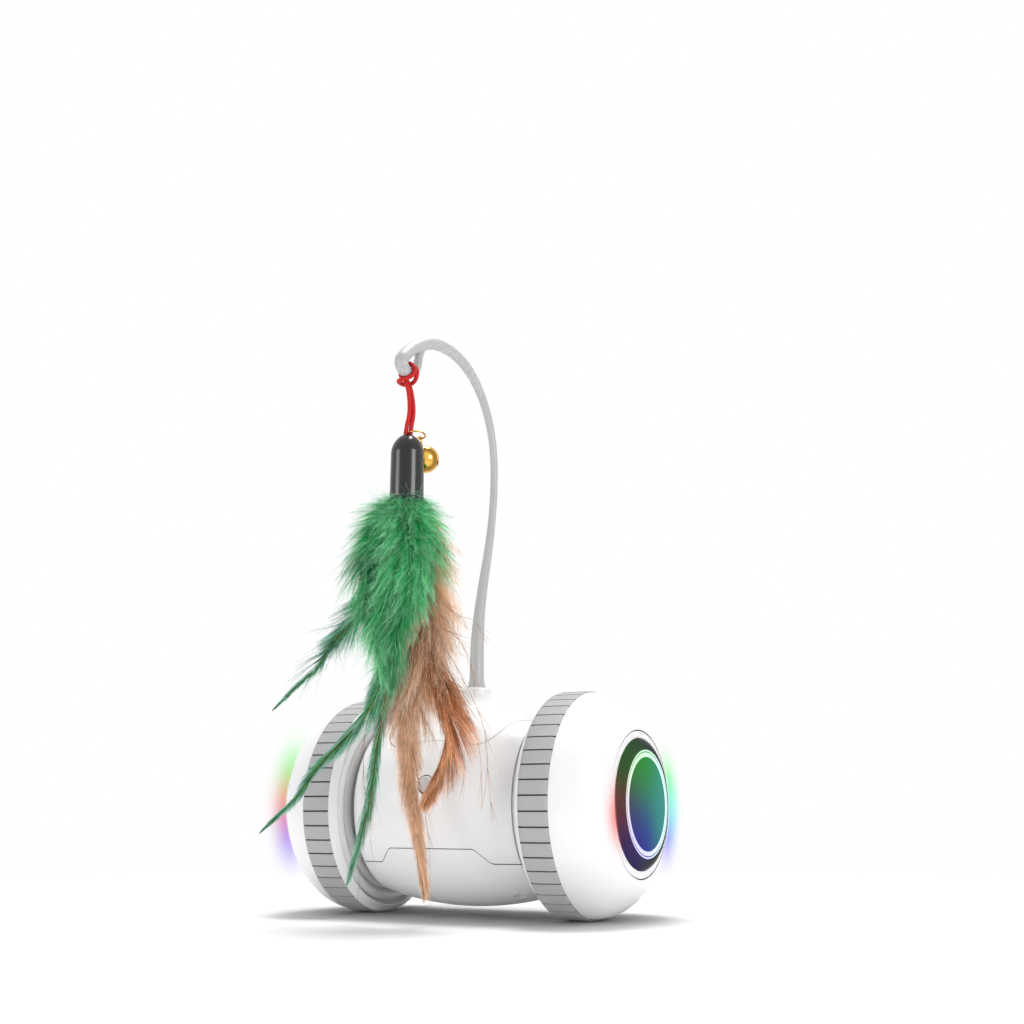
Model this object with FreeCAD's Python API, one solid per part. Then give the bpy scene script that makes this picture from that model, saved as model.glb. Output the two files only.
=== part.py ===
import FreeCAD, Part
import math
import os

# Automatic cat feather toy: a barrel body between two driven wheels, with a bent wand that
# carries a feather lure. Millimetres. X runs along the axle, minus Y is the front, Z is up.
# The origin is on the floor under the middle of the axle.

V = FreeCAD.Vector
X_AXIS = V(1, 0, 0)
Y_AXIS = V(0, 1, 0)
Z_AXIS = V(0, 0, 1)

# Fits and gaps
RUNNING_FIT = 0.05
PART_FIT = 0.1
SEAM_GAP = 0.3
TONGUE_WALL = 0.95
TONGUE_RISE = 2.0

# Tyres
TYRE_R = 40.0
TYRE_SETBACK = 6.5
TYRE_WIDTH = 11.3
TYRE_THICKNESS = 3.1
TREAD_CROWN = 0.35
TREAD_SHOULDER = 2.2
TREAD_GROOVES = 48
TREAD_GROOVE_W = 0.6
TREAD_GROOVE_D = 0.9

# Body shells
BODY_R = 36.5
BODY_END_R = 32.2
BODY_HALF = 32.4
BODY_WALL = 2.0
SEAM_END_DROP = 20.4
SEAM_MID_DROP = 15.4
SEAM_MID_HALF = 17.4
SEAM_RAMP = 5.2
SEAM_ROUND = 2.6

# Saddle-shaped top cover, seen from above
COVER_FLAP_HALF = 15.0
COVER_FLAP_Y = 29.0
COVER_CORNER_R = 9.0
COVER_HOLLOW_R = 10.0
COVER_LEG = 4.5
COVER_SIDE_ANGLE = 65.0
COVER_END_ANGLE = 30.0
COVER_LEDGE = 2.5
COVER_END_LEDGE = 3.5
COVER_SKIN = 1.0

# Raised boss and soft socket that hold the wand
BOSS_RISE = 6.7
BOSS_RIM = 1.2
BOSS_FOOT_R = 14.0
SLEEVE_WALL = 1.8
SLEEVE_DEPTH = 20.0
SOCKET_HOLE_R = 2.5
SOCKET_WALL = 1.9
SOCKET_FLOOR = 3.0

# Wand, in the middle plane: place along Y, height over the boss, half width along X and across
WAND_FOOT_R = 3.7
WAND_PLUG_LENGTH = 12.0
WAND_STATIONS = [
    (0.0, 0.1, 3.7, 3.69),
    (0.0, 1.6, 3.15, 3.14),
    (0.0, 5.0, 2.8, 2.79),
    (0.1, 14.0, 2.65, 2.64),
    (1.5, 28.0, 2.25, 2.24),
    (5.0, 43.0, 1.9, 1.89),
    (10.2, 63.0, 1.6, 1.59),
    (12.8, 84.0, 1.5, 1.49),
    (10.2, 104.5, 1.55, 1.54),
    (1.5, 118.4, 1.7, 1.69),
    (-11.6, 127.0, 2.0, 1.99),
    (-21.5, 129.1, 2.2, 2.15),
    (-30.0, 129.0, 2.35, 2.25),
    (-37.5, 127.4, 2.5, 2.35),
    (-44.4, 124.4, 2.6, 2.4),
    (-50.3, 120.9, 2.7, 2.4),
    (-54.6, 117.4, 2.75, 2.35),
    (-56.7, 114.4, 2.75, 2.25),
    (-56.0, 112.3, 2.6, 2.1),
    (-53.6, 111.4, 2.2, 1.9),
]
EYE_BACK_STATIONS = [
    (-53.6, 111.4, 2.2, 1.9),
    (-50.3, 111.8, 2.1, 1.75),
    (-47.4, 113.7, 1.95, 1.6),
    (-45.9, 116.6, 1.8, 1.45),
    (-45.0, 120.0, 1.7, 1.4),
    (-43.3, 123.2, 1.7, 1.4),
    (-40.0, 125.8, 1.7, 1.35),
    (-35.5, 127.6, 1.6, 1.3),
]

EYE_TILT = 3.0

# Power button on the front
BUTTON_R = 3.05
BUTTON_GAP = 0.3
BUTTON_RISE = 6.6
BUTTON_PROUD = 0.5
BUTTON_TRAVEL = 0.8
BUTTON_FLANGE_R = 3.9
BUTTON_FLANGE_SETBACK = 4.1
BUTTON_STEM_R = 1.4

# End frames with their fixed hollow spindles
FRAME_DISC_DEPTH = 2.7
FRAME_RIDGE_R = 0.6
FRAME_WALL = 2.0
COLLAR_STEPS = [(1.2, 0.7), (2.7, 3.6), (4.2, 6.6)]
SPINDLE_R = 5.0
SPINDLE_BORE_R = 2.5
CLIP_WIDTH = 1.0
CLIP_GROOVE = 0.6
CLIP_WIDER = 2.5

# Gears and motors
GEAR_MODULE = 0.6
RING_TEETH = 48
PINION_TEETH = 12
RING_TOOTH_RISE = 0.8
TOOTH_PLAY = 0.1
PRESSURE_ANGLE = 20.0
PINION_START = 1.3
PINION_WIDTH = 3.5
SHAFT_R = 1.5
SHAFT_FLAT = 0.4
GEARBOX = (9.0, 12.0, 10.0)
MOTOR_CAN_R = 6.0
MOTOR_CAN_LENGTH = 15.2
MOTOR_SCREW_SPACING = 9.0

# Wheel hub, measured from the tyre's inner edge and the rim
LIP_DROP = 2.4
LIP_PROUD = 2.4
WHEEL_GAP = 1.3
HUB_WALL = 1.8
RIM_WALL = 1.7
RIDGE_HEIGHT = 1.3
BUSH_WALL = 1.0
HUB_BOSS_WALL = 2.6
HUB_BOSS_LENGTH = 14.0
BUSH_FLANGE = 0.4

# Domed wheel cover
COVER_EDGE_DROP = 0.4
COVER_BULGE = 3.15
COVER_WALL = 1.9
COVER_DEPTH = 16.7
COVER_OPENING_R = 25.75
COVER_SKIRT = 5.0

# Light unit on the end of each spindle
SEAT_GAP = 0.35
SEAT_RIM = 2.5
SEAT_DEPTH = 4.8
LENS_RISE = 2.1
LENS_BEVEL = 3.7
LENS_CROWN = 0.6
RING_BANDS = [(16.2, 17.75), (18.1, 18.65)]
RING_PROUD = 0.12
RING_DEPTH = 0.5
LED_COUNT = 6
LED_CIRCLE_R = 14.0

# Inner parts
BATTERY_R = 7.0
BATTERY_LENGTH = 43.0
BATTERY_Y = 15.5
BATTERY_DROP = 13.0
BALLAST_HALF_X = 20.5
BALLAST_FRONT_Y = 20.0
BALLAST_REAR_Y = 26.5
BALLAST_TOP_DROP = 21.5
BOARD_HALF_X = 20.0
BOARD_FRONT_Y = 25.0
BOARD_REAR_Y = 28.5
BOARD_RISE = 3.2
BOARD_THICKNESS = 1.6
CHASSIS_THICKNESS = 1.5
POST_R = 2.0
POST_PLACES = [(-16.0, -9.0), (16.0, -9.0), (-16.0, 21.0), (16.0, 21.0)]
SOCKET_SIZE = (8.9, 7.3, 3.2)
SCREW_X = 25.0
SCREW_Y = 11.5
SCREW_SHANK_R = 1.1
SCREW_HEAD_R = 2.0

# Hanging lure
LURE_Y = -51.5
CAP_RISE = 87.2
CAP_LENGTH = 24.4
CAP_R = 6.0
CAP_RIM_R = 6.45
CAP_WALL = 0.9
CAP_HOLE_R = 2.2
CORD_R = 0.8
CORD_SPREAD = 1.27
CORD_CLOSE = 0.87
RING_R = 3.2
RING_WIRE_R = 0.3
RING_RISE = 0.6
RING_TILT = 10.0
RING_HEADING = 43.0
BELL_HEADING = 104.0
BELL_PLACE = (0.4, -40.2)
BELL_DROP = 6.1
BELL_R = 5.2
BELL_WALL = 0.45
BELL_SLIT_W = 1.0
CLAPPER_R = 1.6
SHANK_R = 1.25
SHANK_WIRE_R = 0.35

AXLE_Z = TYRE_R
TYRE_INNER_X = BODY_HALF + TYRE_SETBACK
TYRE_OUTER_X = TYRE_INNER_X + TYRE_WIDTH
COLLAR_FACE = BODY_HALF + COLLAR_STEPS[-1][0]
RING_PITCH_R = GEAR_MODULE * RING_TEETH / 2
PINION_PITCH_R = GEAR_MODULE * PINION_TEETH / 2
SHAFT_DROP = RING_PITCH_R - PINION_PITCH_R
PINION_X = COLLAR_FACE + PINION_START
MOTOR_FACE = BODY_HALF - FRAME_DISC_DEPTH
HUB_FACE = COLLAR_FACE + WHEEL_GAP
HUB_WEB_X = HUB_FACE + PINION_WIDTH + 0.4
HUB_BORE_R = SPINDLE_R + BUSH_WALL
HUB_BOSS_R = HUB_BORE_R + HUB_BOSS_WALL
CLIP_X = HUB_WEB_X + HUB_BOSS_LENGTH + BUSH_FLANGE + PART_FIT
CLIP_R = SPINDLE_R + CLIP_WIDER
SEAT_RIM_X = TYRE_OUTER_X + COVER_DEPTH + 0.1
SPINDLE_END_X = SEAT_RIM_X - SEAT_DEPTH - 0.2
LENS_R = COVER_OPENING_R - SEAT_GAP - SEAT_RIM - PART_FIT
BOSS_TOP = AXLE_Z + BODY_R + BOSS_RISE
BOSS_HOLE_R = SOCKET_HOLE_R + SOCKET_WALL
BOSS_TOP_R = BOSS_HOLE_R + BOSS_RIM
SLEEVE_R = BOSS_HOLE_R + SLEEVE_WALL
EYE_BAR_Y = EYE_BACK_STATIONS[0][0] + 1.8
EYE_BAR_Z = BOSS_TOP + EYE_BACK_STATIONS[0][1] - 0.05
CAP_TOP = BOSS_TOP + CAP_RISE
BELL_CENTRE = V(BELL_PLACE[0], BELL_PLACE[1], CAP_TOP - BELL_DROP)


# Building blocks

def on_axle(x, r):
    return V(x, 0, AXLE_Z + r)


def outline_face(start, steps, place):
    """A closed face: a step is a corner, or a pair of points that an arc passes and ends at."""
    edges = []
    here = place(*start)
    for step in steps + [start]:
        if isinstance(step[0], tuple):
            there = place(*step[1])
            edges.append(Part.Arc(here, place(*step[0]), there).toShape())
        else:
            there = place(*step)
            edges.append(Part.LineSegment(here, there).toShape())
        here = there
    return Part.Face(Part.Wire(edges))


def turned_on_axle(start, steps):
    return outline_face(start, steps, on_axle).revolve(V(0, 0, AXLE_Z), X_AXIS, 360)


def turned_upright(start, steps, y):
    face = outline_face(start, steps, lambda r, z: V(r, y, z))
    return face.revolve(V(0, y, 0), Z_AXIS, 360)


def rod_x(x0, x1, r, y=0.0, z=None):
    return Part.makeCylinder(r, x1 - x0, V(x0, y, AXLE_Z if z is None else z), X_AXIS)


def block(x0, x1, y0, y1, z0, z1):
    return Part.makeBox(x1 - x0, y1 - y0, z1 - z0, V(x0, y0, z0))


def rounded_path(points, radii, closed=False):
    """Straight runs joined by tangent arcs; one radius for each corner."""
    count = len(points)
    corners = range(count) if closed else range(1, count - 1)
    touch = {}
    for i in corners:
        before = (points[i - 1] - points[i]).normalize()
        after = (points[(i + 1) % count] - points[i]).normalize()
        half = before.getAngle(after) / 2
        run = radii[i] / math.tan(half)
        middle = (before + after).normalize() * (radii[i] / math.sin(half) - radii[i])
        touch[i] = (points[i] + before * run, points[i] + middle, points[i] + after * run)
    edges = []
    here = touch[0][2] if closed else points[0]
    order = list(range(1, count)) + ([0] if closed else [])
    for i in order:
        there = touch[i][0] if i in touch else points[i]
        edges.append(Part.LineSegment(here, there).toShape())
        if i in touch:
            edges.append(Part.Arc(*touch[i]).toShape())
            here = touch[i][2]
    return edges


def cord_radii(points):
    """Each arc is as large as its two runs allow."""
    radii = [0.0]
    for before, here, after in zip(points, points[1:], points[2:]):
        shorter = min((here - before).Length, (after - here).Length)
        turn = (here - before).getAngle(after - here)
        radii.append(0.45 * shorter / math.tan(turn / 2))
    return radii + [0.0]


def tube(points, radius, radii=None):
    radii = radii or cord_radii(points)
    path = Part.Wire(rounded_path(points, radii))
    circle = Part.makeCircle(radius, points[0], points[1] - points[0])
    return path.makePipeShell([Part.Wire(circle)], True, False), path.Length


def mirrored(shape):
    return shape.mirror(V(0, 0, 0), X_AXIS)


def cross_recess(centre, size, depth):
    """Cutter for a cross slot in a screw head that faces down."""
    arms = [
        block(centre.x - size, centre.x + size, centre.y - 0.25, centre.y + 0.25,
              centre.z, centre.z + depth),
        block(centre.x - 0.25, centre.x + 0.25, centre.y - size, centre.y + size,
              centre.z, centre.z + depth),
    ]
    return arms[0].fuse(arms[1])


# Body shells

def barrel(outer, inner):
    """A skin of the barrel between two depths below its outer surface."""
    end = BODY_HALF
    return turned_on_axle(
        (-end, BODY_END_R - outer),
        [
            ((0.0, BODY_R - outer), (end, BODY_END_R - outer)),
            (end, BODY_END_R - inner),
            ((0.0, BODY_R - inner), (-end, BODY_END_R - inner)),
        ],
    )


def barrel_core(depth):
    """Everything inside the barrel at a depth below its outer surface."""
    end = BODY_HALF
    return turned_on_axle(
        (-end, 0.0),
        [
            (-end, BODY_END_R - depth),
            ((0.0, BODY_R - depth), (end, BODY_END_R - depth)),
            (end, 0.0),
        ],
    )


def below_seam(rise):
    """All of the space under the stepped parting line, moved up by rise."""
    far = BODY_HALF + 20
    low = AXLE_Z - SEAM_END_DROP + rise
    high = AXLE_Z - SEAM_MID_DROP + rise
    foot = SEAM_MID_HALF + SEAM_RAMP
    floor = AXLE_Z - BODY_R - 20
    corners = [
        (-far, floor), (-far, low), (-foot, low), (-SEAM_MID_HALF, high),
        (SEAM_MID_HALF, high), (foot, low), (far, low), (far, floor),
    ]
    radii = [1.0, 1.0, SEAM_ROUND, SEAM_ROUND, SEAM_ROUND, SEAM_ROUND, 1.0, 1.0]
    points = [V(x, -BODY_R - 20, z) for x, z in corners]
    face = Part.Face(Part.Wire(rounded_path(points, radii, closed=True)))
    return face.extrude(V(0, 2 * BODY_R + 40, 0))


def cover_plan(inset):
    """Front half of the top cover's outline from above, from its middle out to its end."""
    side = math.radians(COVER_SIDE_ANGLE)
    end = math.radians(COVER_END_ANGLE)
    corner = V(COVER_FLAP_HALF, -COVER_FLAP_Y + COVER_CORNER_R, 0)
    corner_r = COVER_CORNER_R - inset
    hollow_r = COVER_HOLLOW_R + inset

    def on_corner(angle):
        return corner + V(math.sin(angle), -math.cos(angle), 0) * corner_r

    leg_start = on_corner(side)
    leg_end = leg_start + V(math.cos(side), math.sin(side), 0) * COVER_LEG
    hollow = leg_end + V(math.sin(side), -math.cos(side), 0) * hollow_r

    def on_hollow(angle):
        return hollow + V(-math.sin(angle), math.cos(angle), 0) * hollow_r

    out = on_hollow(end)
    past = BODY_HALF + 6 - out.x
    tip = out + V(past, past * math.tan(end), 0)
    return [
        (on_corner(0), None),
        (leg_start, on_corner(side / 2)),
        (leg_end, None),
        (out, on_hollow((side + end) / 2)),
        (tip, None),
    ]


def cover_prism(inset):
    """The top cover's outline as an upright prism, smaller all round by inset."""
    quarter = cover_plan(inset)
    loop = []
    for sx, sy in ((1, 1), (1, -1), (-1, -1), (-1, 1)):
        part = [(V(p.x * sx, p.y * sy, 0), m and V(m.x * sx, m.y * sy, 0)) for p, m in quarter]
        if sx * sy < 0:
            points = [p for p, m in part]
            middles = [m for p, m in part]
            part = list(zip(points[::-1], [None] + middles[:0:-1]))
        loop += part
    edges = []
    for (a, _), (b, middle) in zip(loop, loop[1:] + loop[:1]):
        if (a - b).Length < 1e-6:
            continue
        curve = Part.Arc(a, middle, b) if middle else Part.LineSegment(a, b)
        edges.append(curve.toShape())
    face = Part.Face(Part.Wire(edges))
    face.translate(V(0, 0, AXLE_Z + 2))
    return face.extrude(V(0, 0, BODY_R + 20))


def cover_window(inset):
    """The opening under the top cover; it stops short of the barrel's two ends."""
    half = BODY_HALF - COVER_END_LEDGE - inset
    return cover_prism(inset).common(block(-half, half, -BODY_R, BODY_R, AXLE_Z, AXLE_Z + 60))


def button_cutter():
    centre = V(0, -BODY_R - 5, AXLE_Z + BUTTON_RISE)
    return Part.makeCylinder(BUTTON_R + BUTTON_GAP, 10, centre, Y_AXIS)


def socket_port(grow):
    """Outline of the charging socket as a bar with round ends, larger all round by grow."""
    wide, deep, tall = SOCKET_SIZE
    r = tall / 2 + grow
    half = wide / 2 - tall / 2
    z = AXLE_Z + BOARD_RISE + BOARD_THICKNESS + tall / 2
    y = BODY_R - deep - 1.0
    bar = block(-half, half, y, y + deep, z - r, z + r)
    for x in (-half, half):
        bar = bar.fuse(Part.makeCylinder(r, deep, V(x, y, z), Y_AXIS))
    return bar.removeSplitter()


def shell_screw_places():
    return [(sx * SCREW_X, sy * SCREW_Y) for sx in (-1, 1) for sy in (-1, 1)]


def upper_shell():
    seam_z = AXLE_Z - SEAM_END_DROP
    shell = barrel(0, BODY_WALL).cut(below_seam(SEAM_GAP / 2))
    rebate = barrel(TONGUE_WALL, BODY_WALL + 1).common(below_seam(TONGUE_RISE + PART_FIT))
    shell = shell.cut(rebate)
    for x, y in shell_screw_places():
        side = math.copysign(1, y)
        post = Part.makeCylinder(3.0, 14.5, V(x, y, seam_z + 1.0))
        rib = block(x - 0.8, x + 0.8, min(y, side * BODY_R), max(y, side * BODY_R),
                    seam_z + TONGUE_RISE + 0.6, seam_z + 15.5)
        post = post.fuse(rib).common(barrel_core(BODY_WALL / 2))
        post = post.cut(rebate)
        pilot = Part.makeCylinder(SCREW_SHANK_R + 0.02, 12, V(x, y, seam_z))
        shell = shell.fuse(post.cut(pilot))
    opening = barrel(-1, TONGUE_WALL + RUNNING_FIT).common(cover_prism(-SEAM_GAP / 2))
    shell = shell.cut([opening, cover_window(COVER_LEDGE), button_cutter()])
    port = socket_port(0.35)
    port.translate(V(0, 4, 0))
    return shell.cut(port)


def lower_shell():
    seam_z = AXLE_Z - SEAM_END_DROP
    shell = barrel(0, BODY_WALL).common(below_seam(-SEAM_GAP / 2))
    tongue = barrel(TONGUE_WALL + PART_FIT, BODY_WALL).common(below_seam(TONGUE_RISE))
    shell = shell.fuse(tongue)
    for x, y in shell_screw_places():
        post = Part.makeCylinder(3.2, BODY_R, V(x, y, seam_z + 0.8 - BODY_R))
        shell = shell.fuse(post.common(barrel_core(BODY_WALL / 2)))
        shell = shell.cut([
            Part.makeCylinder(SCREW_SHANK_R + PART_FIT, BODY_R, V(x, y, seam_z - 10)),
            Part.makeCylinder(SCREW_HEAD_R + 0.3, 30, V(x, y, seam_z - 35)),
        ])
    return shell.removeSplitter()


def top_cover():
    skin = barrel(0, BODY_WALL).common(cover_prism(SEAM_GAP / 2))
    edge = barrel(COVER_SKIN, BODY_WALL + 1).cut(cover_window(COVER_LEDGE + PART_FIT))
    skin = skin.cut(edge)
    foot_z = AXLE_Z + BODY_R - 3.0
    boss = turned_upright(
        (0, foot_z - 1),
        [
            (BOSS_FOOT_R, foot_z - 1),
            (BOSS_FOOT_R, foot_z),
            ((BOSS_TOP_R + 2.1, foot_z + 3.5), (BOSS_TOP_R, BOSS_TOP - 0.8)),
            ((BOSS_TOP_R - 0.2, BOSS_TOP - 0.2), (BOSS_TOP_R - 0.8, BOSS_TOP)),
            (0, BOSS_TOP),
        ],
        0,
    ).cut(barrel_core(BODY_WALL))
    sleeve = Part.makeCylinder(SLEEVE_R, SLEEVE_DEPTH - 6, V(0, 0, BOSS_TOP - SLEEVE_DEPTH))
    cover = skin.fuse([boss, sleeve])
    cover = cover.cut(Part.makeCylinder(BOSS_HOLE_R, 60, V(0, 0, BOSS_TOP - 30)))
    return cover.removeSplitter()


def wand_socket():
    """Soft grommet pressed into the boss, closed at the bottom."""
    grommet = Part.makeCylinder(BOSS_HOLE_R, SLEEVE_DEPTH, V(0, 0, BOSS_TOP - SLEEVE_DEPTH))
    hole = Part.makeCylinder(SOCKET_HOLE_R, SLEEVE_DEPTH,
                             V(0, 0, BOSS_TOP - SLEEVE_DEPTH + SOCKET_FLOOR))
    return grommet.cut(hole)


# Front button and the electronics

def power_button():
    z = AXLE_Z + BUTTON_RISE
    front = -math.sqrt(BODY_R ** 2 - BUTTON_RISE ** 2) - BUTTON_PROUD
    flange = -BODY_R + BUTTON_FLANGE_SETBACK
    switch = -BOARD_FRONT_Y - 3.0
    steps = [
        (BUTTON_R - 1.2, front + 0.12),
        ((BUTTON_R - 0.25, front + 0.5), (BUTTON_R, front + 1.2)),
        (BUTTON_R, flange),
        (BUTTON_FLANGE_R, flange),
        (BUTTON_FLANGE_R, flange + 0.8),
        (BUTTON_STEM_R, flange + 0.8),
        (BUTTON_STEM_R, switch - BUTTON_TRAVEL - PART_FIT),
        (0, switch - BUTTON_TRAVEL - PART_FIT),
    ]
    face = outline_face((0, front), steps, lambda r, y: V(r, y, z))
    return face.revolve(V(0, 0, z), Y_AXIS, 360)


def button_switch():
    z = AXLE_Z + BUTTON_RISE
    top = AXLE_Z + BOARD_RISE + BOARD_THICKNESS
    front = -BOARD_FRONT_Y - 2.6
    body = block(-3, 3, front, front + 3.5, top, top + 3.6)
    plunger = Part.makeCylinder(1.2, 0.5, V(0, front - 0.4, z), Y_AXIS)
    return body.fuse(plunger).removeSplitter()


def main_board():
    low = AXLE_Z + BOARD_RISE
    board = block(-BOARD_HALF_X, BOARD_HALF_X, -BOARD_FRONT_Y, BOARD_REAR_Y,
                  low, low + BOARD_THICKNESS)
    upright = [edge for edge in board.Edges if abs(edge.tangentAt(edge.FirstParameter).z) > 0.9]
    board = board.makeFillet(4.0, upright)
    holes = [Part.makeCylinder(SCREW_SHANK_R, 5, V(x, y, low - 1)) for x, y in POST_PLACES]
    return board.cut(holes)


def board_chips():
    top = AXLE_Z + BOARD_RISE + BOARD_THICKNESS
    chips = [
        block(-4, 4, -6, 2, top, top + 1.2),
        block(8, 13, -14, -10, top, top + 1.4),
        block(-13, -8, -14, -10, top, top + 1.4),
        block(-12, -7, 12, 16, top, top + 1.6),
        Part.makeCylinder(3.0, 5.0, V(9, 12, top)),
    ]
    return Part.makeCompound(chips)


def charging_socket():
    shell = socket_port(0.0)
    hollow = socket_port(-0.35)
    hollow.translate(V(0, 1.0, 0))
    wide, deep, tall = SOCKET_SIZE
    z = AXLE_Z + BOARD_RISE + BOARD_THICKNESS + tall / 2
    tongue = block(-wide / 2 + 1.6, wide / 2 - 1.6, BODY_R - deep - 0.5, BODY_R - 2.4,
                   z - 0.35, z + 0.35)
    return shell.cut(hollow).fuse(tongue).removeSplitter()


def battery_cell():
    half = BATTERY_LENGTH / 2
    z = AXLE_Z - BATTERY_DROP
    cell = rod_x(-half, half - 1.0, BATTERY_R, BATTERY_Y, z)
    return cell.fuse(rod_x(half - 1.0, half, 2.8, BATTERY_Y, z))


def ballast_weight():
    """A weight that follows the belly and reaches further back, to balance the lure."""
    top = AXLE_Z - BALLAST_TOP_DROP
    bar = block(-BALLAST_HALF_X, BALLAST_HALF_X, -BALLAST_FRONT_Y, BALLAST_REAR_Y,
                AXLE_Z - BODY_R, top)
    return bar.common(barrel_core(BODY_WALL + PART_FIT))


def inner_chassis():
    """Plate over the motors that clips on their cans, holds the cell and carries the board."""
    top = AXLE_Z + BOARD_RISE
    shaft_z = AXLE_Z - SHAFT_DROP
    plate_low = shaft_z + GEARBOX[2] / 2 + 1.7
    plate_top = plate_low + CHASSIS_THICKNESS
    cell_z = AXLE_Z - BATTERY_DROP
    plate = block(-20, 20, -13, 25, plate_low, plate_top)
    parts = []
    for x in (-13.0, 13.0):
        saddle = block(x - 2, x + 2, -7.4, 7.4, shaft_z - 2, plate_low)
        parts.append(saddle.cut(rod_x(x - 3, x + 3, MOTOR_CAN_R + PART_FIT, 0, shaft_z)))
        cradle = block(x - 2, x + 2, BATTERY_Y - BATTERY_R - 0.6, BATTERY_Y + BATTERY_R + 1.6,
                       cell_z - 3, plate_low)
        parts.append(cradle.cut(rod_x(x - 3, x + 3, BATTERY_R + PART_FIT, BATTERY_Y, cell_z)))
    for x, y in POST_PLACES:
        parts.append(Part.makeCylinder(POST_R, top - plate_top, V(x, y, plate_top)))
    chassis = plate.fuse(parts)
    pilots = [Part.makeCylinder(SCREW_SHANK_R - 0.3, 8, V(x, y, top - 5)) for x, y in POST_PLACES]
    return chassis.cut(pilots).removeSplitter()


def board_screws():
    top = AXLE_Z + BOARD_RISE + BOARD_THICKNESS
    screws = []
    for x, y in POST_PLACES:
        shank = Part.makeCylinder(SCREW_SHANK_R - 0.32, 6, V(x, y, top - 6))
        head = Part.makeCylinder(SCREW_HEAD_R - 0.2, 1.2, V(x, y, top))
        screws.append(shank.fuse(head))
    return Part.makeCompound(screws)


def shell_screws():
    seam_z = AXLE_Z - SEAM_END_DROP
    screws = []
    for x, y in shell_screw_places():
        seat = seam_z - 5.0
        shank = Part.makeCylinder(SCREW_SHANK_R, 14.0, V(x, y, seat))
        head = Part.makeCylinder(SCREW_HEAD_R, 1.4, V(x, y, seat - 1.4))
        screw = shank.fuse(head).cut(cross_recess(V(x, y, seat - 1.5), 1.3, 0.9))
        screws.append(screw)
    return Part.makeCompound(screws)


# Right end of the axle; the left end is its mirror image

def end_frame():
    """Closes the barrel's end, steps down to the wheel and carries it on a hollow spindle."""
    inside = BODY_HALF - FRAME_DISC_DEPTH
    disc_r = BODY_END_R - BODY_WALL - 2 * PART_FIT
    steps = [
        (inside - 1.0, SPINDLE_BORE_R),
        (inside - 1.0, 9.0),
        (inside, 9.0),
        (inside, disc_r - 3),
        (inside - 1.2, disc_r - 3),
        (inside - 1.2, disc_r + FRAME_RIDGE_R),
        (inside, disc_r + FRAME_RIDGE_R),
        (inside, disc_r),
        (BODY_HALF + PART_FIT, disc_r),
    ]
    for reach, drop in COLLAR_STEPS:
        steps.append((steps[-1][0], BODY_END_R - drop))
        steps.append((BODY_HALF + reach - 0.3, BODY_END_R - drop))
        steps.append((BODY_HALF + reach, BODY_END_R - drop - 0.3))
    steps += [
        (COLLAR_FACE, SPINDLE_R),
        (CLIP_X, SPINDLE_R),
        (CLIP_X, SPINDLE_R - CLIP_GROOVE),
        (CLIP_X + CLIP_WIDTH + PART_FIT, SPINDLE_R - CLIP_GROOVE),
        (CLIP_X + CLIP_WIDTH + PART_FIT, SPINDLE_R),
        (SPINDLE_END_X, SPINDLE_R),
        (SPINDLE_END_X, SPINDLE_BORE_R),
    ]
    frame = turned_on_axle(steps[0], steps[1:])
    shaft_z = AXLE_Z - SHAFT_DROP
    holes = [rod_x(inside - 2, COLLAR_FACE + 1, SHAFT_R + 0.5, 0, shaft_z)]
    for side in (-1, 1):
        y = side * MOTOR_SCREW_SPACING / 2
        holes.append(rod_x(inside - 2, COLLAR_FACE + 1, 0.85, y, shaft_z))
        holes.append(rod_x(inside + 1.6, COLLAR_FACE + 1, 1.7, y, shaft_z))
    pad = GEARBOX[2] / 2 + 2.0
    hollow = rod_x(inside - 2, COLLAR_FACE - FRAME_WALL, BODY_END_R - 8.5)
    hollow = hollow.cut([
        rod_x(inside - 3, COLLAR_FACE, SPINDLE_R + 3.0),
        block(inside - 3, COLLAR_FACE, -GEARBOX[1] / 2 - 2.0, GEARBOX[1] / 2 + 2.0,
              shaft_z - pad, shaft_z + pad),
    ])
    return frame.cut(holes + [hollow])


def gear_motor():
    long, wide, tall = GEARBOX
    z = AXLE_Z - SHAFT_DROP
    face = MOTOR_FACE - 1.0
    gearbox = block(face - long, face, -wide / 2, wide / 2, z - tall / 2, z + tall / 2)
    can = rod_x(face - long - MOTOR_CAN_LENGTH, face - long, MOTOR_CAN_R, 0, z)
    can = can.common(block(-100, 100, -20, 20, z - tall / 2, z + tall / 2))
    end = face - long - MOTOR_CAN_LENGTH
    boss = rod_x(end - 0.9, end, 2.4, 0, z)
    motor = gearbox.fuse([can, boss])
    holes = [rod_x(face - 7.0, face + 1, SHAFT_R + RUNNING_FIT, 0, z)]
    for side in (-1, 1):
        holes.append(rod_x(face - 2.6, face + 1, 0.77, side * MOTOR_SCREW_SPACING / 2, z))
    return motor.cut(holes).removeSplitter()


def motor_screws():
    z = AXLE_Z - SHAFT_DROP
    seat = MOTOR_FACE + 1.6
    screws = []
    for side in (-1, 1):
        y = side * MOTOR_SCREW_SPACING / 2
        shank = rod_x(MOTOR_FACE - 3.4, seat, 0.75, y, z)
        screws.append(shank.fuse(rod_x(seat, seat + 1.0, 1.5, y, z)))
    return Part.makeCompound(screws)


def motor_shaft():
    z = AXLE_Z - SHAFT_DROP
    tip = PINION_X + PINION_WIDTH
    shaft = rod_x(MOTOR_FACE - 7.5, tip, SHAFT_R, 0, z)
    flat = block(PINION_X - 1, tip + 1, -3, 3, z + SHAFT_R - SHAFT_FLAT, z + 3)
    return shaft.cut(flat)


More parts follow.
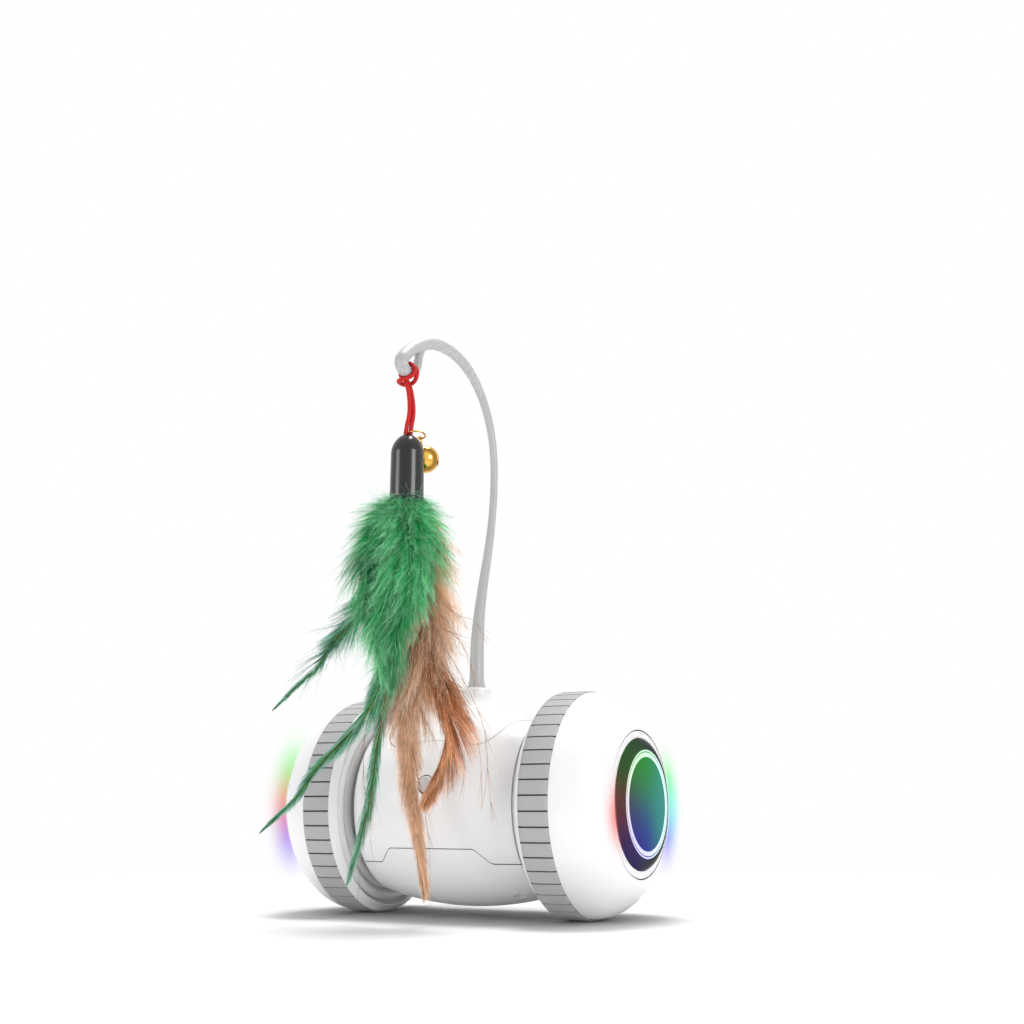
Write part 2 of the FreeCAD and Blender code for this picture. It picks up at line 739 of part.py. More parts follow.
def tooth_points(count, pitch_r, tip_r, root_r, tip_w, root_w):
    """Corners of a toothed outline, one tooth centred straight down."""
    points = []
    for i in range(count):
        middle = 2 * math.pi * i / count - math.pi / 2
        for r, w in ((root_r, -root_w), (tip_r, -tip_w), (tip_r, tip_w), (root_r, root_w)):
            a = middle + w / 2 / r
            points.append((r * math.cos(a), r * math.sin(a)))
    return points


def toothed_prism(points, x, width, z):
    corners = [V(x, y, z + h) for y, h in points]
    wire = Part.makePolygon(corners + corners[:1])
    return Part.Face(wire).extrude(V(width, 0, 0))


def drive_pinion():
    z = AXLE_Z - SHAFT_DROP
    slope = math.tan(math.radians(PRESSURE_ANGLE))
    half_pitch = math.pi * GEAR_MODULE / 2 - TOOTH_PLAY
    tip = PINION_PITCH_R + GEAR_MODULE
    root = PINION_PITCH_R - 1.25 * GEAR_MODULE
    points = tooth_points(PINION_TEETH, PINION_PITCH_R, tip, root,
                          half_pitch - 2 * GEAR_MODULE * slope,
                          half_pitch + 2.5 * GEAR_MODULE * slope)
    gear = toothed_prism(points, PINION_X, PINION_WIDTH, z)
    bore = rod_x(PINION_X - 1, PINION_X + PINION_WIDTH + 1, SHAFT_R + 0.02, 0, z)
    flat = block(PINION_X - 1, PINION_X + PINION_WIDTH + 1, -3, 3,
                 z + SHAFT_R - SHAFT_FLAT + 0.02, z + 3)
    return gear.cut(bore.cut(flat))


def ring_spaces():
    """The spaces between the hub's inner teeth, as one toothed cutter."""
    slope = math.tan(math.radians(PRESSURE_ANGLE))
    half_pitch = math.pi * GEAR_MODULE / 2 + TOOTH_PLAY
    inner = RING_PITCH_R - RING_TOOTH_RISE * GEAR_MODULE
    outer = RING_PITCH_R + 1.25 * GEAR_MODULE
    points = tooth_points(RING_TEETH, RING_PITCH_R, outer, inner,
                          half_pitch - 2.5 * GEAR_MODULE * slope,
                          half_pitch + 2 * RING_TOOTH_RISE * GEAR_MODULE * slope)
    return toothed_prism(points, HUB_FACE - 1, HUB_WEB_X - HUB_FACE + 1, AXLE_Z)


def wheel_hub():
    """Inner half of the wheel: lip, dished face with two soft rings, ring gear, rim and boss."""
    edge = TYRE_INNER_X
    rim_r = TYRE_R - TYRE_THICKNESS
    lip_x = edge - LIP_PROUD
    lip_r = TYRE_R - LIP_DROP
    floor_x = edge - 0.3
    low = lip_r - 1.9
    back = HUB_FACE + HUB_WALL + 0.6
    gear_back = HUB_WEB_X + 2.3
    gear_r = RING_PITCH_R + 1.25 * GEAR_MODULE + 2.2
    inner_teeth_r = RING_PITCH_R - RING_TOOTH_RISE * GEAR_MODULE
    rim_end = TYRE_OUTER_X - 0.4
    return turned_on_axle(
        (edge, TYRE_R - 0.25),
        [
            (lip_x + 0.25, lip_r + 0.1),
            ((lip_x, lip_r - 0.15), (lip_x + 0.15, lip_r - 0.6)),
            (floor_x, lip_r - 1.1),
            ((floor_x + 0.15, low + 0.3), (floor_x - 0.2, low)),
            ((floor_x - RIDGE_HEIGHT - 0.3, low - 2.2), (floor_x - 0.4, low - 4.4)),
            ((floor_x - RIDGE_HEIGHT - 0.4, low - 6.8), (HUB_FACE, low - 9.2)),
            (HUB_FACE, inner_teeth_r),
            (HUB_WEB_X, inner_teeth_r),
            (HUB_WEB_X, HUB_BORE_R),
            (HUB_WEB_X + HUB_BOSS_LENGTH, HUB_BORE_R),
            (HUB_WEB_X + HUB_BOSS_LENGTH, HUB_BOSS_R),
            (gear_back, HUB_BOSS_R),
            (gear_back, gear_r),
            (back, gear_r),
            (back, rim_r - RIM_WALL),
            (rim_end, rim_r - RIM_WALL),
            (rim_end, rim_r),
            (edge, rim_r),
        ],
    ).cut(ring_spaces())


def wheel_bush():
    bush = rod_x(HUB_WEB_X, HUB_WEB_X + HUB_BOSS_LENGTH, HUB_BORE_R)
    flange_x = HUB_WEB_X + HUB_BOSS_LENGTH
    bush = bush.fuse(rod_x(flange_x, flange_x + BUSH_FLANGE, CLIP_R))
    return bush.cut(rod_x(HUB_WEB_X - 1, flange_x + 2, SPINDLE_R + RUNNING_FIT)).removeSplitter()


def retaining_ring():
    x = CLIP_X + PART_FIT / 2
    ring = rod_x(x, x + CLIP_WIDTH, CLIP_R).cut(rod_x(x - 1, x + 3, SPINDLE_R - CLIP_GROOVE))
    return ring.cut(block(x - 1, x + 3, -2.6, 2.6, AXLE_Z, AXLE_Z + CLIP_R + 1))


def tyre():
    """Grooved tread whose blocks have flat tops, with one block at the bottom."""
    inner_r = TYRE_R - TYRE_THICKNESS
    turn = 180.0 / TREAD_GROOVES
    corner_r = TYRE_R / math.cos(math.radians(turn))
    ring = turned_on_axle(
        (TYRE_INNER_X, inner_r),
        [
            (TYRE_INNER_X, corner_r - TREAD_CROWN),
            ((TYRE_INNER_X + 0.4 * TREAD_SHOULDER, corner_r - 0.3 * TREAD_CROWN),
             (TYRE_INNER_X + TREAD_SHOULDER, corner_r)),
            (TYRE_OUTER_X - TREAD_SHOULDER, corner_r),
            ((TYRE_OUTER_X - 0.4 * TREAD_SHOULDER, corner_r - 0.3 * TREAD_CROWN),
             (TYRE_OUTER_X, corner_r - TREAD_CROWN)),
            (TYRE_OUTER_X, inner_r),
        ],
    )
    corners = []
    for i in range(TREAD_GROOVES + 1):
        angle = math.radians((2 * i + 1) * turn)
        corners.append(V(TYRE_INNER_X - 1, corner_r * math.sin(angle),
                         AXLE_Z - corner_r * math.cos(angle)))
    flats = Part.Face(Part.makePolygon(corners)).extrude(V(TYRE_WIDTH + 2, 0, 0))
    cutters = []
    for i in range(TREAD_GROOVES):
        groove = block(TYRE_INNER_X - 1, TYRE_OUTER_X + 1, -TREAD_GROOVE_W / 2,
                       TREAD_GROOVE_W / 2, AXLE_Z + TYRE_R - TREAD_GROOVE_D, AXLE_Z + TYRE_R + 1)
        groove.rotate(V(0, 0, AXLE_Z), X_AXIS, (2 * i + 1) * turn)
        cutters.append(groove)
    return ring.common(flats).cut(cutters)


def wheel_cover():
    """Domed outer half of the wheel; its skirt snaps into the rim."""
    edge_r = TYRE_R - COVER_EDGE_DROP
    rim_r = TYRE_R - TYRE_THICKNESS
    start = V(TYRE_OUTER_X, edge_r, 0)
    end = V(TYRE_OUTER_X + COVER_DEPTH, COVER_OPENING_R, 0)
    chord = end - start
    out = V(-chord.y, chord.x, 0).normalize()
    middle = (start + end) * 0.5 + out * COVER_BULGE
    arc = Part.Circle(start, middle, end)
    centre = arc.Center

    inner_r = arc.Radius - COVER_WALL
    lip_x = centre.x + math.sqrt(inner_r ** 2 - (end.y - centre.y) ** 2)
    wall_end = TYRE_OUTER_X + 1.6
    wall_r = centre.y + math.sqrt(inner_r ** 2 - (wall_end - centre.x) ** 2)
    inner_mid = centre + (middle - centre) * (inner_r / arc.Radius)
    skirt_r = rim_r - RIM_WALL - PART_FIT
    return turned_on_axle(
        (start.x, start.y),
        [
            ((middle.x, middle.y), (end.x, end.y)),
            (lip_x, end.y),
            ((inner_mid.x, inner_mid.y), (wall_end, wall_r)),
            (wall_end, skirt_r - 1.5),
            (TYRE_OUTER_X - COVER_SKIRT, skirt_r - 1.5),
            (TYRE_OUTER_X - COVER_SKIRT, skirt_r),
            (TYRE_OUTER_X, skirt_r),
        ],
    )


def lens_seat():
    """Cup that sits on the spindle's end and fills the cover's opening."""
    rim = COVER_OPENING_R - SEAT_GAP
    floor_x = SEAT_RIM_X - SEAT_DEPTH
    return turned_on_axle(
        (SPINDLE_END_X, SPINDLE_BORE_R),
        [
            (SPINDLE_END_X, SPINDLE_R + 0.02),
            (SPINDLE_END_X - 3.6, SPINDLE_R + 0.02),
            (SPINDLE_END_X - 3.6, SPINDLE_R + 2.0),
            (floor_x, SPINDLE_R + 2.0),
            (floor_x, rim - 0.8),
            ((floor_x + 0.25, rim - 0.25), (floor_x + 0.8, rim)),
            (SEAT_RIM_X - 0.5, rim),
            ((SEAT_RIM_X - 0.12, rim - 0.15), (SEAT_RIM_X, rim - 0.6)),
            (SEAT_RIM_X, rim - SEAT_RIM),
            (floor_x + 1.6, rim - SEAT_RIM),
            (floor_x + 1.6, SPINDLE_BORE_R),
        ],
    )


def led_board():
    x = SEAT_RIM_X - SEAT_DEPTH + 1.6 + PART_FIT
    board = rod_x(x, x + 1.0, LENS_R - 2.2).cut(rod_x(x - 1, x + 2, SPINDLE_BORE_R))
    for i in range(LED_COUNT):
        chip = block(x + 1.0, x + 1.9, -1.6, 1.6, AXLE_Z + LED_CIRCLE_R - 1.6,
                     AXLE_Z + LED_CIRCLE_R + 1.6)
        chip.rotate(V(0, 0, AXLE_Z), X_AXIS, 360.0 * i / LED_COUNT)
        board = board.fuse(chip)
    return board.removeSplitter()


def lens():
    rim_x = SEAT_RIM_X + 0.2
    back_x = SEAT_RIM_X - SEAT_DEPTH + 1.6 + PART_FIT
    face_x = rim_x + LENS_RISE
    face_r = LENS_R - LENS_BEVEL
    inner_r = LENS_R - 1.3
    top_x = face_x + LENS_CROWN
    ball_r = (face_r ** 2 + LENS_CROWN ** 2) / (2 * LENS_CROWN)
    half_way = top_x - ball_r + math.sqrt(ball_r ** 2 - (face_r / 2) ** 2)
    body = turned_on_axle(
        (back_x, LENS_R),
        [
            (rim_x, LENS_R),
            ((rim_x + 0.72 * LENS_RISE, LENS_R - 0.42 * LENS_BEVEL), (face_x, face_r)),
            ((half_way, face_r / 2), (top_x, 0)),
            (top_x - 1.6, 0),
            (face_x - 1.6, face_r - 1.0),
            (rim_x - 0.6, inner_r),
            (back_x, inner_r),
        ],
    )
    grooves = [ring_band(r0, r1, face_x + 3) for r0, r1 in RING_BANDS]
    return body.cut(grooves)


def ring_band(r0, r1, x1):
    x0 = SEAT_RIM_X + 0.2 + LENS_RISE - RING_DEPTH
    return rod_x(x0, x1, r1).cut(rod_x(x0 - 1, x1 + 1, r0))


def light_ring():
    top = SEAT_RIM_X + 0.2 + LENS_RISE + RING_PROUD
    return Part.makeCompound([ring_band(r0, r1, top) for r0, r1 in RING_BANDS])


def led_leads():
    """Two insulated leads from the light board through the spindle to the main board."""
    start = SEAT_RIM_X - SEAT_DEPTH + 1.6 + PART_FIT
    solids = []
    for y in (-0.8, 0.8):
        points = [
            V(start, y, AXLE_Z),
            V(BOARD_HALF_X - 2.5, y, AXLE_Z),
            V(BOARD_HALF_X - 2.5, y, AXLE_Z + BOARD_RISE),
        ]
        solids.append(tube(points, 0.5)[0])
    return Part.makeCompound(solids)


# Wand and lure

def wand_section(y, z, half_x, half_across, slope):
    """Oval across the wand; slope is the wand's direction in the middle plane, in radians."""
    centre = V(0, y, z)
    across = V(0, -math.sin(slope), math.cos(slope))
    oval = Part.Ellipse(centre + X_AXIS * half_x, centre + across * half_across, centre)
    return Part.Wire(oval.toShape())


def wand_loft(stations, first_slope, last_slope):
    places = [(y, BOSS_TOP + z) for y, z, a, b in stations]
    slopes = [first_slope]
    for before, after in zip(places, places[2:]):
        angle = math.atan2(after[1] - before[1], after[0] - before[0])
        while angle < slopes[-1] - math.pi:
            angle += 2 * math.pi
        slopes.append(angle)
    slopes.append(last_slope)
    wires = []
    for (y, z), (_, _, a, b), slope in zip(places, stations, slopes):
        wires.append(wand_section(y, z, a, b, slope))
    return Part.makeLoft(wires, True, False)


def wand():
    """Tapered rod on a flared foot, bent over to an eye, with a plug under the foot."""
    up = math.pi / 2
    bottom = math.radians(-EYE_TILT)
    rod = wand_loft(WAND_STATIONS, up, bottom + 2 * math.pi)
    back = wand_loft(EYE_BACK_STATIONS, bottom, math.radians(20))
    plug_low = BOSS_TOP - WAND_PLUG_LENGTH
    plug = Part.makeCylinder(SOCKET_HOLE_R - RUNNING_FIT, WAND_PLUG_LENGTH + 1, V(0, 0, plug_low))
    return rod.fuse([back, plug]).removeSplitter()


def eye_point(x, along, out):
    """A place beside the eye's lower bar: along the bar to the back, and out from the eye."""
    tilt = math.radians(EYE_TILT)
    y = EYE_BAR_Y + along * math.cos(tilt) - out * math.sin(tilt)
    z = EYE_BAR_Z - along * math.sin(tilt) - out * math.cos(tilt)
    return V(x, y, z)


def elastic_points():
    """Up from the cap, round the eye's bar, across as the bight and back down the same way."""
    wide = heading(RING_HEADING) * CORD_SPREAD
    close = heading(RING_HEADING + 24) * CORD_CLOSE
    middle = V(0, LURE_Y, CAP_TOP)
    turn = [
        (0.2, 0.92, 3.8),
        (-3.05, 0.88, 1.4),
        (-3.05, 0.88, -1.5),
        (0.0, 0.88, -3.9),
        (3.05, 0.88, -1.5),
        (3.15, 0.95, 1.6),
        (0.5, 2.62, 3.5),
        (-3.4, 2.62, 3.6),
    ]
    front = [eye_point(x, -along, out) for x, along, out in turn]
    rear = [eye_point(x, along, out) for x, along, out in turn]
    bow = middle + V(1.7, 0.2, 9.5)
    foot = middle + V(0.1, 0, 2.4)
    start = [middle - wide - V(0, 0, 0.8), foot - wide, bow - close]
    end = [bow + close, foot + wide, middle + wide - V(0, 0, 0.8)]
    return start + front + rear[::-1] + end


def elastic_loop():
    points = elastic_points()
    radii = cord_radii(points)
    cord, length = tube(points, CORD_R)
    section = math.pi * CORD_R ** 2
    print("elastic radii", [round(r, 1) for r in radii[1:-1]])
    print("elastic length", round(length, 1), "volume over section", round(cord.Volume / section, 1))
    return cord


def heading(degrees):
    angle = math.radians(degrees)
    return V(math.cos(angle), math.sin(angle), 0)


def ring_centre():
    return V(0, LURE_Y, CAP_TOP + RING_RISE) + heading(RING_HEADING) * RING_R


def lure_cap():
    bottom = CAP_TOP - CAP_LENGTH
    inner_top = CAP_TOP - 6.4
    return turned_upright(
        (CAP_HOLE_R, CAP_TOP),
        [
            ((CAP_R - 1.25, CAP_TOP - 2.6), (CAP_R, CAP_TOP - 6.6)),
            (CAP_R + 0.15, bottom + 1.0),
            ((CAP_RIM_R - 0.05, bottom + 0.7), (CAP_RIM_R, bottom)),
            (CAP_R - CAP_WALL, bottom),
            (CAP_R - CAP_WALL, inner_top),
            ((CAP_R - 1.6, inner_top + 1.9), (CAP_HOLE_R, inner_top + 3.0)),
        ],
        LURE_Y,
    )


def quill_plug():
    """Bound quills glued in the cap; the feathers grow out of it."""
    bottom = CAP_TOP - CAP_LENGTH
    return turned_upright(
        (0, bottom - 0.5),
        [
            (CAP_R - CAP_WALL - PART_FIT, bottom - 0.5),
            (CAP_R - CAP_WALL - PART_FIT, bottom + 9.0),
            (3.2, bottom + 12.0),
            (0, bottom + 12.0),
        ],
        LURE_Y,
    )


def jump_ring():
    """Passes between the two strands and slopes down to the bell."""
    ring = Part.makeTorus(RING_R, RING_WIRE_R, V(0, 0, 0), Z_AXIS)
    ring.rotate(V(0, 0, 0), heading(BELL_HEADING - 90), -RING_TILT)
    ring.translate(ring_centre())
    return ring


def bell_pivot():
    """The jump ring's low back point, which the bell's shank hangs on."""
    tilt = math.radians(RING_TILT)
    reach = heading(BELL_HEADING) * math.cos(tilt) - V(0, 0, math.sin(tilt))
    return ring_centre() + reach * RING_R


def bell_shell():
    """Round jingle bell with a cross slit below and a wire shank above."""
    ball = Part.makeSphere(BELL_R).cut(Part.makeSphere(BELL_R - BELL_WALL))
    for a, b in ((1, 0), (0, 1)):
        wide = BELL_R * a + BELL_SLIT_W / 2 * b
        deep = BELL_R * b + BELL_SLIT_W / 2 * a
        slit = block(-wide, wide, -deep, deep, -BELL_R - 1, -0.6)
        ball = ball.cut(slit)
    ball = ball.cut([
        Part.makeCylinder(0.95, BELL_R, V(x, y, -BELL_R))
        for x, y in ((0.62 * BELL_R, 0), (-0.62 * BELL_R, 0), (0, 0.62 * BELL_R), (0, -0.62 * BELL_R))
    ])
    reach = bell_pivot() - BELL_CENTRE
    top = reach.Length + RING_WIRE_R + SHANK_WIRE_R + RUNNING_FIT
    loop = Part.makeTorus(SHANK_R, SHANK_WIRE_R, V(0, 0, top - SHANK_R), X_AXIS)
    stem = Part.makeCylinder(0.6, top - 2 * SHANK_R - BELL_R + 0.3, V(0, 0, BELL_R - 0.3))
    bell = ball.fuse([loop, stem])
    bell.Placement = FreeCAD.Placement(BELL_CENTRE, FreeCAD.Rotation(Z_AXIS, reach))
    return bell


def bell_clapper():
    low = BELL_CENTRE - V(0, 0, BELL_R - BELL_WALL - CLAPPER_R - 0.1)
    return Part.makeSphere(CLAPPER_R, low)


def plume(sections):
    """Closed soft form through level ovals: drop from the cap's top, middle X and Y, half sizes."""
    wires = []
    for drop, x, y, half_x, half_y in sections:
        centre = V(x, LURE_Y + y, CAP_TOP - drop)
        oval = Part.Ellipse(centre + X_AXIS * half_x, centre + Y_AXIS * half_y, centre)
        wires.append(Part.Wire(oval.toShape()))
    return Part.makeLoft(wires, True, False)


def green_plume():
    top = CAP_LENGTH + 0.8
    return plume([
        (top, 0, 0, 4.0, 3.9),
        (top + 7, -1.5, 0, 8.5, 6),
        (top + 20, -3, 0, 12, 6.5),
        (top + 36, -4, 0, 12, 6.5),
        (top + 52, -6, 0, 9, 5),
        (top + 64, -8, 0, 5.5, 3.5),
        (top + 71, -8, 0, 2.5, 2),
    ])


def long_hackles():
    left = plume([
        (63.4, -26, -2.5, 2.0, 1.0),
        (75.4, -34, -3.5, 3.2, 1.2),
        (87.4, -43, -4.5, 2.4, 1.0),
        (98.4, -52, -4.5, 0.8, 0.5),
    ])
    front = plume([
        (80.4, -4, -12, 2.2, 1.0),
        (98.4, -10, -10.5, 3.2, 1.2),
        (114.4, -22, -9.5, 3.2, 1.2),
        (128.4, -38, -8.5, 2.4, 1.0),
        (140.4, -53, -8.5, 0.8, 0.5),
    ])
    low = plume([
        (98.4, -7.5, -2.5, 3.2, 1.2),
        (118.4, -8, -2.5, 3.2, 1.2),
        (138.4, -12, -2.5, 2.6, 1.0),
        (156.4, -18.5, -2.5, 0.8, 0.5),
    ])
    return Part.makeCompound([left, front, low])


def tan_feathers():
    side = plume([
        (58.4, 19, 3.5, 2.0, 1.5),
        (67.4, 20, 3.5, 5.0, 3.0),
        (80.4, 18.5, 3.5, 6.5, 3.5),
        (92.4, 15.5, 3.5, 6.5, 3.0),
        (102.4, 13, 3, 3.0, 1.5),
    ])
    long = plume([
        (97.4, 3, 2, 6.5, 1.5),
        (112.4, 2.5, 2, 7.0, 1.3),
        (132.4, 5, 2, 4.5, 1.2),
        (150.4, 6.5, 2, 2.8, 1.0),
        (159.9, 7, 2, 0.8, 0.5),
    ])
    return Part.makeCompound([side, long])


def rust_feather():
    return plume([
        (75.4, 15, -2, 2.5, 1.2),
        (86.4, 19, -2, 6.5, 1.5),
        (100.4, 21, -2, 6.5, 1.4),
        (114.4, 17.5, -2, 3.5, 1.2),
        (129.4, 11.5, -2, 0.8, 0.5),
    ])


# Writing the parts

MIDDLE_PARTS = {
    "upper_shell": upper_shell,
    "lower_shell": lower_shell,
    "top_cover": top_cover,
    "wand_socket": wand_socket,
    "power_button": power_button,
    "button_switch": button_switch,
    "main_board": main_board,
    "board_chips": board_chips,
    "board_screws": board_screws,
    "charging_socket": charging_socket,
    "battery_cell": battery_cell,
    "ballast_weight": ballast_weight,
    "inner_chassis": inner_chassis,
    "shell_screws": shell_screws,
    "wand": wand,
    "elastic_loop": elastic_loop,
    "lure_cap": lure_cap,
    "quill_plug": quill_plug,
    "jump_ring": jump_ring,
    "bell_shell": bell_shell,
    "bell_clapper": bell_clapper,
    "green_plume": green_plume,
    "long_hackles": long_hackles,
    "tan_feathers": tan_feathers,
    "rust_feather": rust_feather,
}

SIDE_PARTS = {
    "end_frame": end_frame,
    "gear_motor": gear_motor,
    "motor_screws": motor_screws,
    "motor_shaft": motor_shaft,
    "drive_pinion": drive_pinion,
    "wheel_hub": wheel_hub,
    "wheel_bush": wheel_bush,
    "retaining_ring": retaining_ring,
    "tyre": tyre,
    "wheel_cover": wheel_cover,
    "lens_seat": lens_seat,
    "led_board": led_board,
    "lens": lens,
    "light_ring": light_ring,
    "led_leads": led_leads,
}


def write(name, shape):
    if not shape.isValid():
        print("not valid:", name)
    print(name, "solids", len(shape.Solids), "volume", round(shape.Volume, 1))
    shape.exportStep(os.path.join("parts", name + ".step"))


os.makedirs("parts", exist_ok=True)
for part_name, make in MIDDLE_PARTS.items():
    write(part_name, make())
for part_name, make in SIDE_PARTS.items():
    right = make()
    write("right_" + part_name, right)
    write("left_" + part_name, mirrored(right))
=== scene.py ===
import math
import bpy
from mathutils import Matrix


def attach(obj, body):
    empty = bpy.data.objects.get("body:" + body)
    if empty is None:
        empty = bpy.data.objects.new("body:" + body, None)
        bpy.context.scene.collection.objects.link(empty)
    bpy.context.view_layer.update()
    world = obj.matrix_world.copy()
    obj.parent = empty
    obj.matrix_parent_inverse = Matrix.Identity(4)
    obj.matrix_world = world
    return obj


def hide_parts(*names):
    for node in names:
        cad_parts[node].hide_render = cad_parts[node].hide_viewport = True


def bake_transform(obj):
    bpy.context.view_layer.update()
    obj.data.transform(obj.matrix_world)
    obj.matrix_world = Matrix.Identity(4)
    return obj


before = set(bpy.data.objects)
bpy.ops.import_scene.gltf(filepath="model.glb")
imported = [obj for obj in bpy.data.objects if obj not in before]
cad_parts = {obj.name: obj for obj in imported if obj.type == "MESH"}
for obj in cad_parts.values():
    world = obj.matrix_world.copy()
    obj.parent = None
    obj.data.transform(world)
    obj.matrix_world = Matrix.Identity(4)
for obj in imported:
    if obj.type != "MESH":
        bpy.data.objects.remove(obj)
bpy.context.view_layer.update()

from types import SimpleNamespace

import bpy
import numpy as np
from bpy.props import FloatProperty, FloatVectorProperty, IntProperty, PointerProperty
from mathutils import Matrix, Vector

bl_info = {
    "name": "Cat Feather Toy",
    "version": (1, 0, 0),
    "blender": (4, 5, 0),
    "location": "3D View > Sidebar > Cat Toy",
    "description": "Finishes and soft pieces of a self-driving cat toy, built around its packed frame",
    "category": "Object",
}

AXLE_HEIGHT = 0.040
TREAD_RADIUS = 0.040
GROOVE_DEPTHS = (0.00055, 0.00015)
LENS_RADIUS = 0.0228


def both(*names):
    """Left and right node of each paired part."""
    return [f"{side}_{name}" for name in names for side in ("left", "right")]


# Sizes and colours that a user may change

def tint(name, description, default):
    """A colour that a user may change."""
    return FloatVectorProperty(name=name, description=description, subtype="COLOR", min=0.0, max=1.0,
                               default=default)


def amount(name, description, default, unit="NONE"):
    """A number from zero up."""
    return FloatProperty(name=name, description=description, unit=unit, min=0.0, default=default)


def length(name, description, default):
    """A length in metres."""
    return amount(name, description, default, "LENGTH")


def number(name, description, default):
    """A whole number from zero up."""
    return IntProperty(name=name, description=description, min=0, default=default)


class CATTOY_PG_finishes(bpy.types.PropertyGroup):
    """Colours of the toy's finishes"""

    shell: tint("Shell", "White of the barrel and the wheel domes", (0.86, 0.86, 0.87))
    tread: tint("Tread", "Grey of the rubber tyres", (0.43, 0.43, 0.435))
    end_frame: tint("End frame", "Pale grey of the soft rings beside the wheels", (0.72, 0.72, 0.73))
    wand: tint("Wand", "Grey of the bent wand and its socket", (0.48, 0.48, 0.485))
    button: tint("Button", "Grey of the round button", (0.54, 0.54, 0.55))
    cap: tint("Cap", "Near black of the lure's cap", (0.007, 0.007, 0.008))
    elastic: tint("Elastic", "Red of the elastic's woven cover", (0.62, 0.012, 0.012))
    gold: tint("Gold", "Plated bell and ring", (0.84, 0.50, 0.11))
    plume: tint("Plume", "Green of the fluffy feathers", (0.010, 0.40, 0.105))
    plume_tips: tint("Plume tips", "Paler green at the ends of the fluff", (0.30, 0.70, 0.42))
    hackle: tint("Hackle", "Dark green of the long narrow feathers", (0.060, 0.25, 0.12))
    tan: tint("Tan", "Tan of the soft long feathers", (0.74, 0.43, 0.26))
    tan_tips: tint("Tan tips", "Paler tan at the ends of the barbs", (0.90, 0.67, 0.50))
    rust: tint("Rust", "Rust brown of the curved feather", (0.47, 0.17, 0.07))


class CATTOY_PG_lure(bpy.types.PropertyGroup):
    """Sizes of the lure's soft pieces"""

    elastic_diameter: length("Elastic diameter", "Diameter of the elastic cord", 0.0016)
    plume_barbs: number("Plume barbs", "Barbs on each fluffy feather", 640)
    plume_width: length("Plume barb width", "Width of one fluffy barb", 0.00013)
    fringe_hairs: number("Fringe hairs", "Fine outer hairs on each fluffy feather", 320)
    fringe_width: length("Fringe hair width", "Width of one fine outer hair", 0.00009)
    hackle_width: length("Hackle barb width", "Width of one hackle barb", 0.00013)
    vane_width: length("Vane barb width", "Width of one barb of the tan and rust feathers", 0.00011)
    frizz: length("Frizz", "How far the ends of the barbs stray", 0.0014)
    seed: number("Seed", "Seed of everything random on the feathers", 7)


class CATTOY_PG_stage(bpy.types.PropertyGroup):
    """Lamps, floor and sky of the studio"""

    sky: amount("Sky", "Strength of the even light from all around", 0.36)
    key: amount("Key lamp", "Large lamp overhead, a little behind", 7.0, "POWER")
    fill: amount("Front lamp", "Soft lamp at the front left", 2.75, "POWER")
    side: amount("Side lamp", "Soft lamp on the wheel's side", 3.0, "POWER")
    floor_lift: amount("Floor lift", "Brightness that the camera sees on top of the lit floor", 0.01)


# Helpers for node trees

def put(socket, value):
    """Give a socket its value: a colour gets its fourth number here."""
    socket.default_value = (*tuple(value)[:3], 1.0) if socket.type == "RGBA" else value


def place(tree, kind, inputs=None, **settings):
    """Add a node, set its own settings, and fill its inputs with values or links."""
    item = tree.nodes.new(kind)
    for key, value in settings.items():
        setattr(item, key, value)
    for key, value in (inputs or {}).items():
        if isinstance(value, bpy.types.NodeSocket):
            tree.links.new(value, item.inputs[key])
        else:
            put(item.inputs[key], value)
    return item


def tune(item, **values):
    """Set a node's inputs, named with low lines for spaces."""
    for label, value in values.items():
        put(item.inputs[label.replace("_", " ")], value)


def give(tree, sockets, **values):
    """Link values to sockets, named with low lines for spaces."""
    for label, value in values.items():
        tree.links.new(value, sockets[label.replace("_", " ")])


def calc(tree, operation, *values, clamp=False):
    """Output of one maths node."""
    item = place(tree, "ShaderNodeMath", dict(enumerate(values)), operation=operation, use_clamp=clamp)
    return item.outputs[0]


def product(tree, first, *others):
    """All the values multiplied."""
    for other in others:
        first = calc(tree, "MULTIPLY", first, other)
    return first


def linear(tree, value, factor, start, clamp=False):
    """A value times a factor, and a start added."""
    return calc(tree, "MULTIPLY_ADD", value, factor, start, clamp=clamp)


def swung(tree, noise, reach, middle=1.0, clamp=False):
    """A middle that noise from 0 to 1 raises or lowers by half the reach."""
    return linear(tree, calc(tree, "SUBTRACT", noise, 0.5), reach, middle, clamp)


def vector_calc(tree, operation, *values):
    """Output of one vector maths node, a number for a distance or length."""
    item = place(tree, "ShaderNodeVectorMath", dict(enumerate(values)), operation=operation)
    return item.outputs["Value" if operation in ("DISTANCE", "LENGTH") else "Vector"]


def scaled(tree, vector, factor):
    """A vector or colour times a number."""
    item = place(tree, "ShaderNodeVectorMath", {0: vector, "Scale": factor}, operation="SCALE")
    return item.outputs["Vector"]


def mixed(tree, factor, first, second):
    """Two colours mixed."""
    return place(tree, "ShaderNodeMix", {0: factor, 6: first, 7: second}, data_type="RGBA").outputs[2]


def spread(tree, value, low, high, to_low=0.0, to_high=1.0, kind="SMOOTHSTEP"):
    """A value mapped from one range to another, and held inside it."""
    item = place(tree, "ShaderNodeMapRange", {"Value": value, "From Min": low, "From Max": high,
                                              "To Min": to_low, "To Max": to_high}, interpolation_type=kind)
    return item.outputs["Result"]


def grain(tree, coordinates, scale, detail=2.0, roughness=0.5):
    """Soft noise from 0 to 1."""
    item = place(tree, "ShaderNodeTexNoise", {"Vector": coordinates, "Scale": scale, "Detail": detail,
                                              "Roughness": roughness})
    return item.outputs["Fac"]


